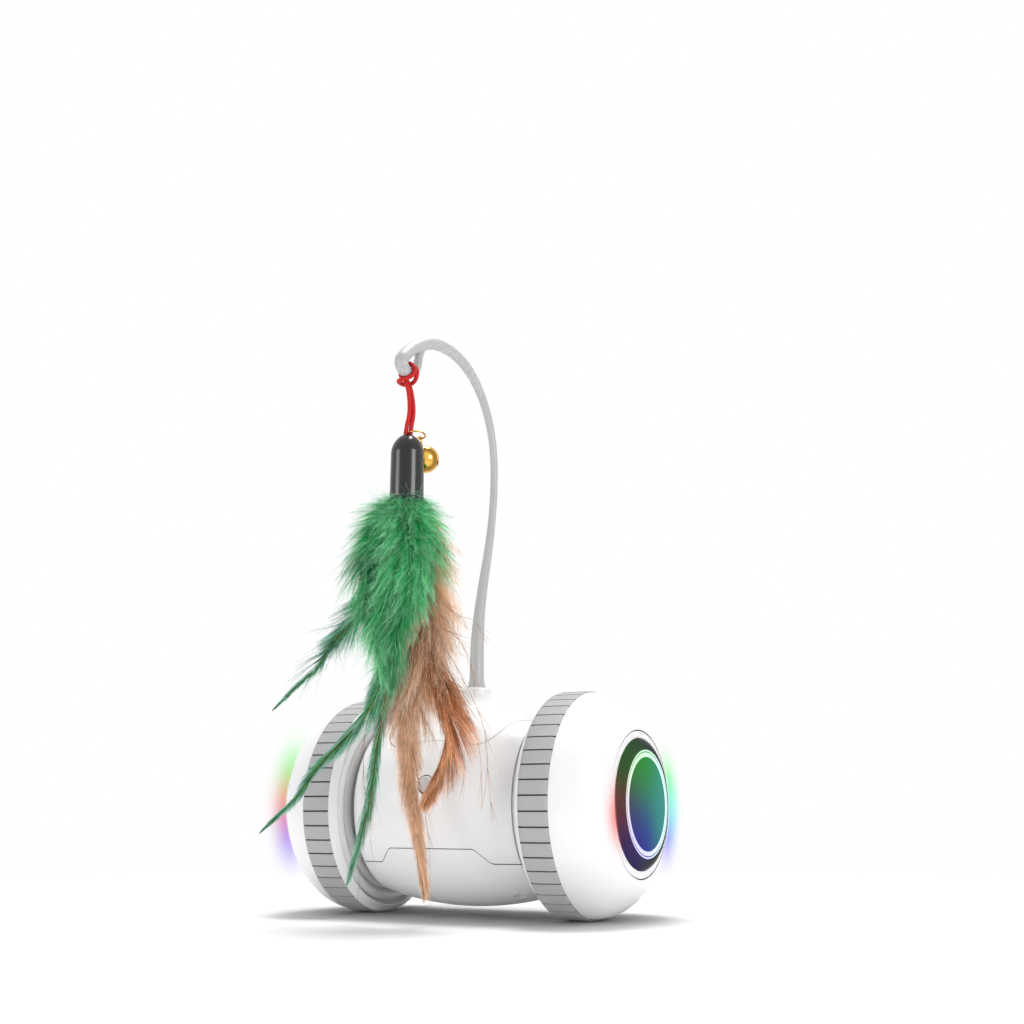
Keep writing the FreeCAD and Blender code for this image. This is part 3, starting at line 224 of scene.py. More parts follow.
def open_share(tree, distance, samples):
    """Share of the surroundings within a distance that is open."""
    return place(tree, "ShaderNodeAmbientOcclusion", {"Distance": distance}, samples=samples).outputs["AO"]


def relief(tree, height, depth, strength):
    """Surface direction over a relief."""
    item = place(tree, "ShaderNodeBump", {"Strength": strength, "Distance": depth, "Height": height})
    return item.outputs["Normal"]


def object_place(tree):
    """Place on the piece in metres, in the toy's own frame."""
    return place(tree, "ShaderNodeTexCoord").outputs["Object"]


def parts(tree, vector):
    """The three numbers of a vector."""
    return place(tree, "ShaderNodeSeparateXYZ", {0: vector}).outputs


def attribute(tree, name):
    """A value stored on the mesh."""
    return place(tree, "ShaderNodeAttribute", attribute_name=name, attribute_type="GEOMETRY").outputs["Fac"]


def straight_view(tree):
    """One for rays from the camera and for those that gloss or glass passes on, otherwise zero."""
    path = place(tree, "ShaderNodeLightPath").outputs
    passed_on = calc(tree, "MAXIMUM", path["Is Glossy Ray"], path["Is Transmission Ray"])
    return calc(tree, "MAXIMUM", path["Is Camera Ray"], passed_on)


def shade_of(colour, factor):
    """The same colour, lighter or darker."""
    return tuple(min(1.0, c * factor) for c in tuple(colour)[:3])


SHADER = "ShaderNodeTree"
SURFACE = {"Colour": "Color", "Roughness": "Float", "Normal": "Vector"}


def socket_word(value):
    """Kind of socket that holds such a value, which is its own kind where it is a word."""
    if isinstance(value, tuple):
        return "Color" if len(value) == 4 else "Vector"
    if isinstance(value, int):
        return "Int"
    return value if isinstance(value, str) else "Float"


def new_group(name, kind, inputs, outputs):
    """A node group with named sockets, and its start and end nodes."""
    group = bpy.data.node_groups.new(name, kind)
    for label, value in inputs.items():
        kind_of_socket = "NodeSocket" + socket_word(value)
        made = group.interface.new_socket(name=label, in_out="INPUT", socket_type=kind_of_socket)
        if not isinstance(value, str):
            made.default_value = value
    for label, word in outputs.items():
        group.interface.new_socket(name=label, in_out="OUTPUT", socket_type="NodeSocket" + word)
    return group, group.nodes.new("NodeGroupInput").outputs, group.nodes.new("NodeGroupOutput").inputs


def shared(build):
    """A node group that is made when it is first asked for, and found by its name after that."""
    name = build.__name__.replace("_", " ").title()

    def found():
        return bpy.data.node_groups.get(name) or build(name)

    return found


# Effects that several finishes share

@shared
def moulded_skin(name):
    """Faint spark grain, slow ripple of the tool, uneven tone and gloss of moulded plastic and rubber, and
    painted shade that darkens the colour in seams and creases.
    """
    tree, given, out = new_group(name, SHADER, {
        "Colour": (0.8, 0.8, 0.8, 1.0), "Roughness": 0.35, "Grain Scale": 3000.0, "Grain Depth": 0.00001,
        "Mottle": 0.03, "Seam Shade": 0.5, "Ripple": 0.4, "Wear": 0.10, "Seam Reach": 0.0018}, SURFACE)
    where = object_place(tree)
    fine = grain(tree, where, given["Grain Scale"], 3.0, 0.6)
    slow = grain(tree, where, 60.0)
    patches = grain(tree, where, 240.0, 4.0, 0.6)
    # Painted shade: the colour darkens in seams and creases, by how closed in the surroundings are nearby.
    creases = spread(tree, open_share(tree, given["Seam Reach"], 8), 0.75, 0.2)
    lit_share = calc(tree, "SUBTRACT", 1.0, product(tree, creases, given["Seam Shade"]))
    level = product(tree, swung(tree, slow, given["Mottle"]), lit_share)
    height = linear(tree, slow, given["Ripple"], fine)
    give(tree, out, Colour=scaled(tree, given["Colour"], level),
         Roughness=swung(tree, patches, given["Wear"], given["Roughness"], clamp=True),
         Normal=relief(tree, height, given["Grain Depth"], 0.6))
    return tree


@shared
def drawn_metal(name):
    """Streaks along one direction, small pits and uneven gloss of drawn, plated or turned metal."""
    tree, given, out = new_group(name, SHADER, {
        "Colour": (0.6, 0.6, 0.6, 1.0), "Roughness": 0.3, "Stretch": (1.0, 1.0, 1.0), "Scale": 2500.0,
        "Depth": 0.000006}, SURFACE)
    where = object_place(tree)
    streaks = grain(tree, vector_calc(tree, "MULTIPLY", where, given["Stretch"]), given["Scale"], 4.0, 0.65)
    stains = grain(tree, where, 320.0, 3.0)
    give(tree, out, Colour=scaled(tree, given["Colour"], swung(tree, stains, 0.22)),
         Roughness=swung(tree, streaks, 0.22, given["Roughness"], clamp=True),
         Normal=relief(tree, streaks, given["Depth"], 0.5))
    return tree


@shared
def lit_colours(name):
    """Colour, distance and strength of the lamp behind a lens, whose colours have places round the axle."""
    tree, given, out = new_group(name, SHADER, {
        "Red": (0.08, 0.03, 0.012, 1.0), "Green": (0.012, 0.27, 0.012, 1.0), "Teal": (0.025, 0.29, 0.25, 1.0),
        "Blue": (0.015, 0.015, 0.30, 1.0), "Rim": (0.035, 0.035, 0.040, 1.0), "Rim Share": 0.05,
        "Reach": 0.62, "Red Place": (1.05, 0.02, 0.0), "Green Place": (0.25, 0.60, 0.0),
        "Teal Place": (-0.75, 0.05, 0.0), "Blue Place": (0.45, -0.52, 0.0)},
        {"Colour": "Color", "Distance": "Float", "Strength": "Float"})
    split = parts(tree, object_place(tree))
    height = calc(tree, "DIVIDE", calc(tree, "SUBTRACT", split["Z"], AXLE_HEIGHT), LENS_RADIUS)
    across = calc(tree, "DIVIDE", split["Y"], -LENS_RADIUS)
    spot = place(tree, "ShaderNodeCombineXYZ", {"X": across, "Y": height}).outputs[0]
    total = given["Rim Share"]
    whole = scaled(tree, given["Rim"], total)
    for label in ("Red", "Green", "Teal", "Blue"):
        away = vector_calc(tree, "DISTANCE", spot, given[label + " Place"])
        away = calc(tree, "DIVIDE", away, given["Reach"])
        weight = calc(tree, "EXPONENT", product(tree, away, away, -1.0))
        total = calc(tree, "ADD", total, weight)
        whole = vector_calc(tree, "ADD", whole, scaled(tree, given[label], weight))
    give(tree, out, Colour=scaled(tree, whole, calc(tree, "DIVIDE", 1.0, total)),
         Distance=vector_calc(tree, "LENGTH", spot), Strength=total)
    return tree


@shared
def plumage(name):
    """Colour and gloss of barbs from root to tip, each a little lighter or darker, and of their quill."""
    tree, given, out = new_group(name, SHADER, {
        "Root": (0.1, 0.3, 0.1, 1.0), "Middle": (0.1, 0.4, 0.1, 1.0), "Tip": (0.3, 0.6, 0.3, 1.0),
        "Quill": (0.3, 0.5, 0.3, 1.0), "Spread": 0.6, "Tip Start": 0.45},
        {"Colour": "Color", "Roughness": "Float"})
    along, shade, stem = attribute(tree, "along"), attribute(tree, "shade"), attribute(tree, "stem")
    near = mixed(tree, spread(tree, along, 0.0, given["Tip Start"]), given["Root"], given["Middle"])
    far = mixed(tree, spread(tree, along, given["Tip Start"], 1.0), near, given["Tip"])
    patches = grain(tree, object_place(tree), 420.0, 3.0)
    change = swung(tree, patches, 0.8, calc(tree, "SUBTRACT", shade, 0.5))
    barbs = scaled(tree, far, linear(tree, change, given["Spread"], 1.0))
    give(tree, out, Colour=mixed(tree, stem, barbs, given["Quill"]),
         Roughness=linear(tree, shade, -0.12, linear(tree, stem, -0.25, 0.72)))
    return tree


@shared
def braided_cover(name):
    """Colour, gloss and relief of a fine braid, from a tube's own map; the colour is darker where the weave
    lies low, as painted shade between the strands.
    """
    tree, given, out = new_group(name, SHADER, {
        "Colour": (0.7, 0.02, 0.02, 1.0), "Strands": 8.0, "Depth": 0.00006}, SURFACE)
    split = parts(tree, place(tree, "ShaderNodeTexCoord").outputs["UV"])
    turn = product(tree, split["X"], given["Strands"])
    climb = product(tree, split["Y"], given["Strands"], 0.30)
    rising, falling = (calc(tree, "SINE", product(tree, calc(tree, way, turn, climb), 2 * math.pi))
                       for way in ("ADD", "SUBTRACT"))
    woven = linear(tree, product(tree, rising, falling), 0.5, 0.5)
    height = linear(tree, grain(tree, object_place(tree), 9000.0), 0.25, woven)
    # Painted shade: the colour follows the weave's height, darker where it lies low between the strands.
    give(tree, out, Colour=scaled(tree, given["Colour"], linear(tree, woven, 0.5, 0.70)),
         Roughness=linear(tree, woven, -0.15, 0.52), Normal=relief(tree, height, given["Depth"], 0.8))
    return tree


# Materials

def new_material(name):
    """An empty node material with its surface shader."""
    material = bpy.data.materials.new(name)
    material.use_nodes = True
    tree = material.node_tree
    tree.nodes.clear()
    shader = tree.nodes.new("ShaderNodeBsdfPrincipled")
    place(tree, "ShaderNodeOutputMaterial", {"Surface": shader.outputs[0]})
    return material, tree, shader


def use(tree, group, **values):
    """Outputs of a shared effect with its own values."""
    item = tree.nodes.new("ShaderNodeGroup")
    item.node_tree = group
    tune(item, **values)
    return item.outputs


def wire_up(tree, shader, group, outputs=("Colour", "Roughness", "Normal"), **values):
    """Place a shared effect in a material with its own values and link it to the shader."""
    made = use(tree, group, **values)
    for label in outputs:
        tree.links.new(made[label], shader.inputs["Base Color" if label == "Colour" else label])


def moulded(name, colour, roughness, depth=0.00001, scale=3000.0, mottle=0.04, crease_shade=0.45, coat=0.0,
            sheen=0.0, wear=0.10, reach=0.0018):
    """Moulded plastic or rubber, with painted shade of a given strength in its seams and creases."""
    material, tree, shader = new_material(name)
    wire_up(tree, shader, moulded_skin(), Colour=colour, Roughness=roughness, Grain_Scale=scale,
            Grain_Depth=depth, Mottle=mottle, Seam_Shade=crease_shade, Wear=wear, Seam_Reach=reach)
    tune(shader, Coat_Weight=coat, Coat_Roughness=0.12, Sheen_Weight=sheen, Sheen_Roughness=0.5)
    return material


def metal(name, colour, roughness, stretch=(1.0, 1.0, 1.0), scale=2500.0, depth=0.000006):
    """Bare or plated metal."""
    material, tree, shader = new_material(name)
    wire_up(tree, shader, drawn_metal(), Colour=colour, Roughness=roughness, Stretch=stretch, Scale=scale,
            Depth=depth)
    tune(shader, Metallic=1.0)
    return material


def feathered(name, root, middle, tip, quill, contrast, tip_start):
    """Barbs and quill of a feather."""
    material, tree, shader = new_material(name)
    wire_up(tree, shader, plumage(), ("Colour", "Roughness"), Root=root, Middle=middle, Tip=tip, Quill=quill,
            Spread=contrast, Tip_Start=tip_start)
    tune(shader, Sheen_Weight=0.02, Sheen_Roughness=0.4, Specular_IOR_Level=0.08)
    return material


def dress(material, *names):
    """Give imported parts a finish."""
    for name in names:
        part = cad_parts[name]
        if not part.material_slots:
            part.data.materials.append(material)
        for held in part.material_slots:
            held.material = material


def shader_of(material):
    """Tree and surface shader of a finished material, and the colour that goes into it."""
    tree = material.node_tree
    shader = tree.nodes["Principled BSDF"]
    return tree, shader, shader.inputs["Base Color"].links[0].from_socket


# Helpers for soft shapes

def steps_along(line):
    """Distance of each point from a line's start."""
    return np.r_[0, np.cumsum(np.linalg.norm(np.diff(line, axis=0), axis=1))]


def unit(vectors):
    """The same directions with a length of one."""
    return vectors / np.linalg.norm(vectors, axis=1)[:, None]


def smooth_line(points, count=60, between=24):
    """Even points on a smooth line through the given ones, and the directions there."""
    ends = np.vstack([2 * points[0] - points[1], points, 2 * points[-1] - points[-2]])
    t = np.linspace(0, 1, between, endpoint=False)[:, None]
    dense = []
    for i in range(len(points) - 1):
        a, b, c, d = ends[i:i + 4]
        dense.append(0.5 * (2 * b + (c - a) * t + (2 * a - 5 * b + 4 * c - d) * t ** 2
                            + (3 * b - a - 3 * c + d) * t ** 3))
    dense = np.vstack(dense + [points[-1:]])
    steps = steps_along(dense)
    even = np.linspace(0, steps[-1], count)
    line = np.stack([np.interp(even, steps, dense[:, k]) for k in range(3)], axis=1)
    return line, unit(np.gradient(line, axis=0))


def grid_faces(rows, columns):
    """Faces between rows of corners that each close in a ring."""
    for i in range(rows - 1):
        for j in range(columns):
            k = (j + 1) % columns
            yield i * columns + j, i * columns + k, (i + 1) * columns + k, (i + 1) * columns + j


def sweep(line, radii, sides):
    """Corners, faces and map of a closed tube along a line: turns round it across, diameters along it up."""
    line = np.array(line, float)
    heading = unit(np.gradient(line, axis=0))
    across = np.cross(heading[0], (0.0, 0.0, 1.0) if abs(heading[0][2]) < 0.9 else (1.0, 0.0, 0.0))
    angles = np.linspace(0, 2 * math.pi, sides, endpoint=False)
    corners, uvs = [], []
    run = steps_along(line) / (2 * max(radii))
    for point, way, radius in zip(line, heading, radii):
        across = across - way * (across @ way)
        across /= np.linalg.norm(across)
        other = np.cross(way, across)
        corners += [point + radius * (math.cos(a) * across + math.sin(a) * other) for a in angles]
    faces = list(grid_faces(len(line), sides))
    for low, high in zip(run[:-1], run[1:]):
        for j in range(sides):
            left, right = j / sides, (j + 1) / sides
            uvs.append(((left, low), (right, low), (right, high), (left, high)))
    for end, at_start in ((0, True), (len(line) - 1, False)):
        middle = len(corners)
        corners.append(line[end])
        for j in range(sides):
            first, second = end * sides + j, end * sides + (j + 1) % sides
            faces.append((middle, second, first) if at_start else (middle, first, second))
            uvs.append(((0, run[end]),) * 3)
    return corners, faces, uvs


def new_piece(name, corners, faces, material=None, uvs=None):
    """A mesh object in the toy's frame."""
    mesh = bpy.data.meshes.new(name)
    mesh.from_pydata([tuple(c) for c in corners], [], faces)
    if uvs:
        layer = mesh.uv_layers.new(name="UVMap")
        layer.data.foreach_set("uv", np.array([value for face in uvs for value in face], float).ravel())
    mesh.polygons.foreach_set("use_smooth", [True] * len(mesh.polygons))
    mesh.update()
    if material:
        mesh.materials.append(material)
    piece = bpy.data.objects.new(name, mesh)
    bpy.context.scene.collection.objects.link(piece)
    return piece


def set_points(mesh, name, values):
    """Store one value or vector for each corner of a mesh."""
    values = np.array(values, np.float32)
    kind, label = ("FLOAT_VECTOR", "vector") if values.ndim == 2 else ("FLOAT", "value")
    mesh.attributes.new(name, kind, "POINT").data.foreach_set(label, values.ravel())


def evaluated_mesh(item):
    """A new mesh of an object as its modifiers or curve make it."""
    graph = bpy.context.evaluated_depsgraph_get()
    return bpy.data.meshes.new_from_object(item.evaluated_get(graph), depsgraph=graph)


def discard(item, store):
    """Remove an object and the mesh or curve that it shows."""
    held = item.data
    bpy.data.objects.remove(item)
    store.remove(held)


# Barbs of the feathers

def strip(stations, blunt, power):
    """Corners and faces of a narrow pointed strip, one unit long and one wide."""
    along = np.linspace(0, 1, stations)
    half = 0.5 * np.clip(blunt - along, 0, 1) ** power
    corners = [(x, s * w, 0.0) for x, w in zip(along, half) for s in (-1, 1)]
    return corners, [(2 * i, 2 * i + 2, 2 * i + 3, 2 * i + 1) for i in range(stations - 1)]


def plain_barb(stations=7):
    """A narrow pointed strip as a template."""
    corners, faces = strip(stations, 1.15, 0.6)
    piece = new_piece("barb_plain", corners, faces)
    set_points(piece.data, "along", [c[0] for c in corners])
    return piece


def downy_barb(pairs=11, hair=9.0):
    """A strip with fine hairs on both sides, as a template: the hairs' length counts in barb widths."""
    corners, faces = strip(6, 1.1, 0.7)
    share = [c[0] for c in corners]
    for i in range(pairs):
        x = 0.05 + 0.93 * i / pairs
        reach = hair * (1.0 - 0.55 * x) * (0.75 + 0.25 * math.sin(7.3 * i))
        for side in (-1, 1):
            start = len(corners)
            lift = 3.0 * math.sin(2.4 * i + side)
            corners += [(x, 0.0, 0.0), (x + 0.013, 0.0, 0.0), (x + 0.09, side * reach, lift)]
            faces.append((start, start + 1, start + 2) if side > 0 else (start, start + 2, start + 1))
            share += [x, x, min(1.0, x + 0.3)]
    piece = new_piece("barb_downy", corners, faces)
    set_points(piece.data, "along", share)
    return piece


@shared
def barbs_on_quills(name):
    """Sets one barb on every root point, turned to its heading, then bends and frizzes it towards its end."""
    tree, given, out = new_group(name, "GeometryNodeTree", {
        "Roots": "Geometry", "Barb": "Object", "Quills": "Object", "Width": 0.0002, "Twist": 0.5,
        "Frizz": 0.001, "Frizz Scale": 160.0, "Seed": 0, "Finish": "Material"}, {"Barbs": "Geometry"})

    def stored(label, kind="FLOAT_VECTOR"):
        item = place(tree, "GeometryNodeInputNamedAttribute", {"Name": label}, data_type=kind)
        return item.outputs["Attribute"]

    def step(kind, inputs, **settings):
        return place(tree, kind, inputs, **settings).outputs[0]

    template, quills = (place(tree, "GeometryNodeObjectInfo", {"Object": given[label]}).outputs["Geometry"]
                        for label in ("Barb", "Quills"))
    aimed = step("FunctionNodeAlignRotationToVector", {"Vector": stored("heading")}, axis="X")
    laid = step("FunctionNodeAlignRotationToVector", {"Rotation": aimed, "Vector": stored("lie")}, axis="Z",
                pivot_axis="X")
    turn = place(tree, "FunctionNodeRandomValue", {"Min": product(tree, given["Twist"], -1.0),
                                                   "Max": given["Twist"], "Seed": given["Seed"]},
                 data_type="FLOAT").outputs[1]
    roll = step("FunctionNodeAxisAngleToRotation", {"Axis": (1.0, 0.0, 0.0), "Angle": turn})
    rolled = step("FunctionNodeRotateRotation", {"Rotation": laid, "Rotate By": roll}, rotation_space="LOCAL")
    size = step("ShaderNodeCombineXYZ", {"X": stored("reach", "FLOAT"), "Y": given["Width"],
                                         "Z": given["Width"]})
    set_on = step("GeometryNodeInstanceOnPoints", {"Points": given["Roots"], "Instance": template,
                                                   "Rotation": rolled, "Scale": size})
    loose = step("GeometryNodeRealizeInstances", {"Geometry": set_on})
    along = stored("along", "FLOAT")
    shift = step("ShaderNodeCombineXYZ", {"X": given["Seed"]})
    lookup = vector_calc(tree, "ADD", step("GeometryNodeInputPosition", {}), shift)
    noise = place(tree, "ShaderNodeTexNoise", {"Vector": lookup, "Scale": given["Frizz Scale"],
                                               "Detail": 2.0}).outputs["Color"]
    stray = vector_calc(tree, "SUBTRACT", noise, (0.5, 0.5, 0.5))
    stray = scaled(tree, stray, product(tree, given["Frizz"], along))
    bent = scaled(tree, stored("droop"), product(tree, along, along))
    offset = vector_calc(tree, "ADD", bent, stray)
    moved = step("GeometryNodeSetPosition", {"Geometry": loose, "Offset": offset})
    joined = place(tree, "GeometryNodeJoinGeometry")
    tree.links.new(quills, joined.inputs[0])
    tree.links.new(moved, joined.inputs[0])
    whole = step("GeometryNodeRealizeInstances", {"Geometry": joined.outputs[0]})
    give(tree, out, Barbs=step("GeometryNodeSetMaterial", {"Geometry": whole, "Material": given["Finish"]}))
    return tree


def set_inputs(modifier, **values):
    """Set a geometry node modifier's inputs by the identifiers of their sockets."""
    sockets = {item.name: item.identifier for item in modifier.node_group.interface.items_tree
               if item.in_out == "INPUT"}
    for label, value in values.items():
        modifier[sockets[label]] = value


# What a feather has unless it says otherwise: lengths in millimetres, angles in radians, the rest as shares
USUAL = dict(start=0.02, left_share=0.5, ragged=0.3, tufts=14, unruly=0.05, pinch=0.2, scatter=0.03, sag=0.0,
             curl=0.1, stray=0.03, shade=0.5, streaks=0.12, quill=0.28)
FACE = np.array((0.46, -0.86, -0.2))
DOWN = np.array((0.0, 0.0, -1.0))
OWN_SHADE = 0.13
TUFT_PULL = 0.35
QUILL_TIP = 0.22


def lay_barbs(rng, line, heading, plan):
    """Root, heading, lie, reach, droop and shade of every barb of one feather."""
    count = plan.barbs
    share = plan.start + (1.0 - plan.start) * rng.random(count)
    side = np.where(rng.random(count) < plan.left_share, 1.0, -1.0)
    at = share * (len(line) - 1)
    root, forward = (np.stack([np.interp(at, np.arange(len(line)), table[:, k]) for k in range(3)], axis=1)
                     for table in (line, heading))
    face = unit(FACE - forward * np.sum(FACE * forward, axis=1)[:, None])
    flank = np.cross(forward, face) * side[:, None]
    roll = rng.normal(0.0, plan.loft, count)[:, None]
    outward = flank * np.cos(roll) + face * np.sin(roll)
    splay = np.interp(share, [0.0, 1.0], np.radians(plan.splay))
    spots, halves = zip(*plan.half)
    reach = 0.001 * np.interp(share, spots, halves) / np.sin(splay)
    reach *= rng.uniform(1.0 - plan.ragged, 1.0, count)
    own = np.floor(share * plan.tufts + 0.5 * (side > 0)).astype(int)
    middle = (own + 0.5 - 0.5 * (side > 0)) / plan.tufts
    lean = rng.normal(0.0, plan.unruly, plan.tufts + 2)[own]
    angle = splay + lean - plan.pinch * (middle - share) * plan.tufts * TUFT_PULL
    angle = (angle + rng.normal(0.0, plan.scatter, count))[:, None]
    way = forward * np.cos(angle) + outward * np.sin(angle)
    lie = face * np.cos(roll) - flank * np.sin(roll)
    droop = DOWN * plan.sag + forward * plan.curl + rng.normal(0.0, plan.stray, (count, 3))
    shade = plan.shade + rng.normal(0, OWN_SHADE, count)
    shade += rng.normal(0, plan.streaks, plan.tufts + 2)[own]
    return {"root": root, "heading": way, "lie": lie, "reach": reach, "droop": droop * reach[:, None],
            "shade": np.clip(shade, 0, 1)}


def quill_mesh(name, plans, lines):
    """Tapered quills of several feathers as one mesh, marked as stems."""
    corners, faces = [], []
    for plan, (line, _) in zip(plans, lines):
        thick = plan.quill * 0.001
        tube, sides, _ = sweep(line, np.linspace(thick, thick * QUILL_TIP, len(line)), 6)
        faces += [tuple(i + len(corners) for i in face) for face in sides]
        corners += tube
    piece = new_piece(name, corners, faces)
    set_points(piece.data, "stem", [1.0] * len(corners))
    set_points(piece.data, "shade", [0.5] * len(corners))
    return piece


def grow(name, feathers, template, material, width, settings, seed_shift, frizz=1.0, twist=0.5):
    """One plain mesh of barbs and quills for a group of feathers."""
    rng = np.random.default_rng(settings.seed + seed_shift)
    plans = [SimpleNamespace(**{**USUAL, **feather}) for feather in feathers]
    lines = [smooth_line(np.array(plan.line, float) * 0.001) for plan in plans]
    laid = [lay_barbs(rng, *line, plan) for line, plan in zip(lines, plans)]
    joined = {key: np.concatenate([one[key] for one in laid]) for key in laid[0]}
    piece = new_piece(name, joined.pop("root"), [])
    for key, values in joined.items():
        set_points(piece.data, key, values)
    quills = quill_mesh(name + "_quills", plans, lines)
    modifier = piece.modifiers.new("Barbs", "NODES")
    modifier.node_group = barbs_on_quills()
    set_inputs(modifier, Barb=template, Quills=quills, Width=width, Twist=twist, Frizz=settings.frizz * frizz,
               Seed=settings.seed + seed_shift, Finish=material)
    piece.data.update_tag()
    mesh = evaluated_mesh(piece)
    piece.modifiers.clear()
    points = piece.data
    piece.data = mesh
    mesh.name = name
    bpy.data.meshes.remove(points)
    for extra in ("heading", "lie", "reach", "droop"):
        if extra in mesh.attributes:
            mesh.attributes.remove(mesh.attributes[extra])
    for used in (quills, template):
        discard(used, bpy.data.meshes)
    mesh.polygons.foreach_set("use_smooth", [True] * len(mesh.polygons))
    if len(mesh.polygons) < 100:
        raise RuntimeError(f"{name} grew only {len(mesh.polygons)} faces")
    return piece


def hang_on_lure(pieces, node):
    """Let finished pieces stand for a packed soft part and move with the lure."""
    for piece in pieces:
        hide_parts(node)
        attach(piece, "lure")


# The camera

CAMERA_PLACE = (0.2485, -0.4305, 0.0367)
CAMERA_LENS = 45.42
CAMERA_YAW, CAMERA_PITCH, CAMERA_ROLL = (math.radians(angle) for angle in (28.45, 13.13, 0.09))


class CATTOY_OT_camera(bpy.types.Operator):
    """Set the camera where the photograph was taken"""

    bl_idname = "cattoy.camera"
    bl_label = "Camera"

    def execute(self, context):
        data = bpy.data.cameras.new("photo_view")
        data.lens = CAMERA_LENS
        data.clip_start = 0.01
        data.clip_end = 30.0
        camera = bpy.data.objects.new("photo_view", data)
        context.scene.collection.objects.link(camera)
        level = Vector((math.cos(CAMERA_YAW), math.sin(CAMERA_YAW), 0.0))
        ahead = Vector((-math.sin(CAMERA_YAW), math.cos(CAMERA_YAW), 0.0))
        forward = ahead * math.cos(CAMERA_PITCH) + Vector((0.0, 0.0, math.sin(CAMERA_PITCH)))
        upright = level.cross(forward)
        right = level * math.cos(CAMERA_ROLL) + upright * math.sin(CAMERA_ROLL)
        up = upright * math.cos(CAMERA_ROLL) - level * math.sin(CAMERA_ROLL)
        turned = Matrix((right, up, -forward)).transposed().to_4x4()
        camera.matrix_world = Matrix.Translation(CAMERA_PLACE) @ turned
        context.scene.camera = camera
        return {"FINISHED"}


# The elastic

ELASTIC_ROUTE = [
    (-0.00064, -0.052097, 0.1696), (-0.00056, -0.05209, 0.1728), (0.00133, -0.052041, 0.1799),
    (0.0002, -0.052918, 0.190803), (-0.00305, -0.052752, 0.193198), (-0.00305, -0.0526, 0.196094),
    (0.0, -0.052475, 0.198491), (0.00305, -0.0526, 0.196094), (0.00315, -0.052832, 0.193002),
    (0.0005, -0.0546, 0.191192), (-0.0034, -0.054605, 0.191092), (-0.0034, -0.049372, 0.190818),
    (0.0005, -0.049367, 0.190918), (0.00315, -0.050935, 0.192902), (0.00305, -0.050843, 0.196002),
    (0.0, -0.050717, 0.198399), (-0.00305, -0.050843, 0.196002), (-0.00305, -0.050994, 0.193106),
    (0.0002, -0.05108, 0.190707), (0.00204, -0.050559, 0.1799), (0.00072, -0.05091, 0.1728),
    (0.00064, -0.050903, 0.1696),
]


def route_line(name, route):
    """Points of the smooth curve that has the route's points as its controls."""
    data = bpy.data.curves.new(name, "CURVE")
    data.dimensions = "3D"
    spline = data.splines.new("NURBS")
    spline.points.add(len(route) - 1)
    for point, spot in zip(spline.points, route):
        point.co = (*spot, 1.0)
    spline.order_u = 3
    spline.use_endpoint_u = True
    data.resolution_u = 16
    holder = bpy.data.objects.new(name, data)
    bpy.context.scene.collection.objects.link(holder)
    mesh = evaluated_mesh(holder)
    line = [tuple(v.co) for v in mesh.vertices]
    bpy.data.meshes.remove(mesh)
    discard(holder, bpy.data.curves)
    return line


class CATTOY_OT_elastic(bpy.types.Operator):
    """Make the red elastic that hitches the lure to the wand's eye"""

    bl_idname = "cattoy.elastic"
    bl_label = "Elastic"

    def execute(self, context):
        diameter = context.scene.cattoy_lure.elastic_diameter
        material, tree, shader = new_material("elastic red")
        wire_up(tree, shader, braided_cover(), Colour=context.scene.cattoy_finishes.elastic, Strands=9.0,
                Depth=0.00008)
        tune(shader, Sheen_Weight=0.03, Sheen_Roughness=0.35, Specular_IOR_Level=0.3)
        line = route_line("elastic_route", ELASTIC_ROUTE)
        corners, faces, uvs = sweep(line, [diameter / 2] * len(line), 18)
        piece = new_piece("elastic_cord", corners, faces, material, uvs)
        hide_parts("elastic_loop")
        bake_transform(piece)
        return {"FINISHED"}


# The feathers

def tuft(line, shade=0.5, share=1.0, scale=1.0):
    """One fluffy feather of the plume."""
    half = [(0.0, 8.0 * scale), (0.3, 9.6 * scale), (0.7, 7.0 * scale), (1.0, 3.2 * scale)]
    return dict(line=line, barbs=share, shade=shade, loft=1.2, splay=(62, 26), tufts=8, start=0.06, half=half,
                ragged=0.6, sag=0.18, curl=0.36, stray=0.15, unruly=0.22, pinch=0.30, scatter=0.20,
                streaks=0.24, quill=0.14)


def collar_tuft(turn):
    """One short tuft that leaves the cap's mouth in the direction of the turn."""
    out = ((3.0, 149.0), (5.4, 144.0), (7.6, 136.0))
    line = [(reach * math.cos(turn), -51.5 + reach * math.sin(turn), height) for reach, height in out]
    return tuft(line, 0.45 + 0.2 * math.sin(3.0 * turn), 0.42, 0.55)


FRONT_TUFTS = [
    tuft([(-0.5, -53, 147), (-5.5, -57, 141), (-11.5, -59, 130), (-12, -60, 117), (-8, -60, 105)], 0.34),
    tuft([(-0.3, -54, 147), (-3.5, -58, 134), (-9.5, -60, 119), (-10, -60, 105), (-5, -59, 92)], 0.62),
    tuft([(0.6, -54, 147), (3.6, -60, 131), (0.5, -61, 114), (-5.5, -60, 99), (-4, -58, 84)], 0.66),
    tuft([(1.4, -54, 147), (6.6, -59, 131), (7.6, -60, 113), (2, -60, 97), (0, -57, 82)], 0.36),
    tuft([(1.8, -53, 147), (8.5, -56, 137), (11.0, -57, 125), (9, -57, 113), (5, -56, 102)], 0.74, 0.8,
         0.9),
    tuft([(0.5, -53, 147), (-1.5, -57, 124), (2, -58, 104), (-4, -57, 88), (-8, -56, 74)], 0.5, 1.0, 0.8),
    tuft([(1.0, -53, 147), (4.5, -55, 124), (-1, -56, 104), (-1.5, -55, 88), (-7, -55, 72)], 0.3, 1.0,
         0.75),
]
COLLAR = [collar_tuft(turn) for turn in np.radians((200, 235, 262, 290, 318, 350, 30, 90, 150))]
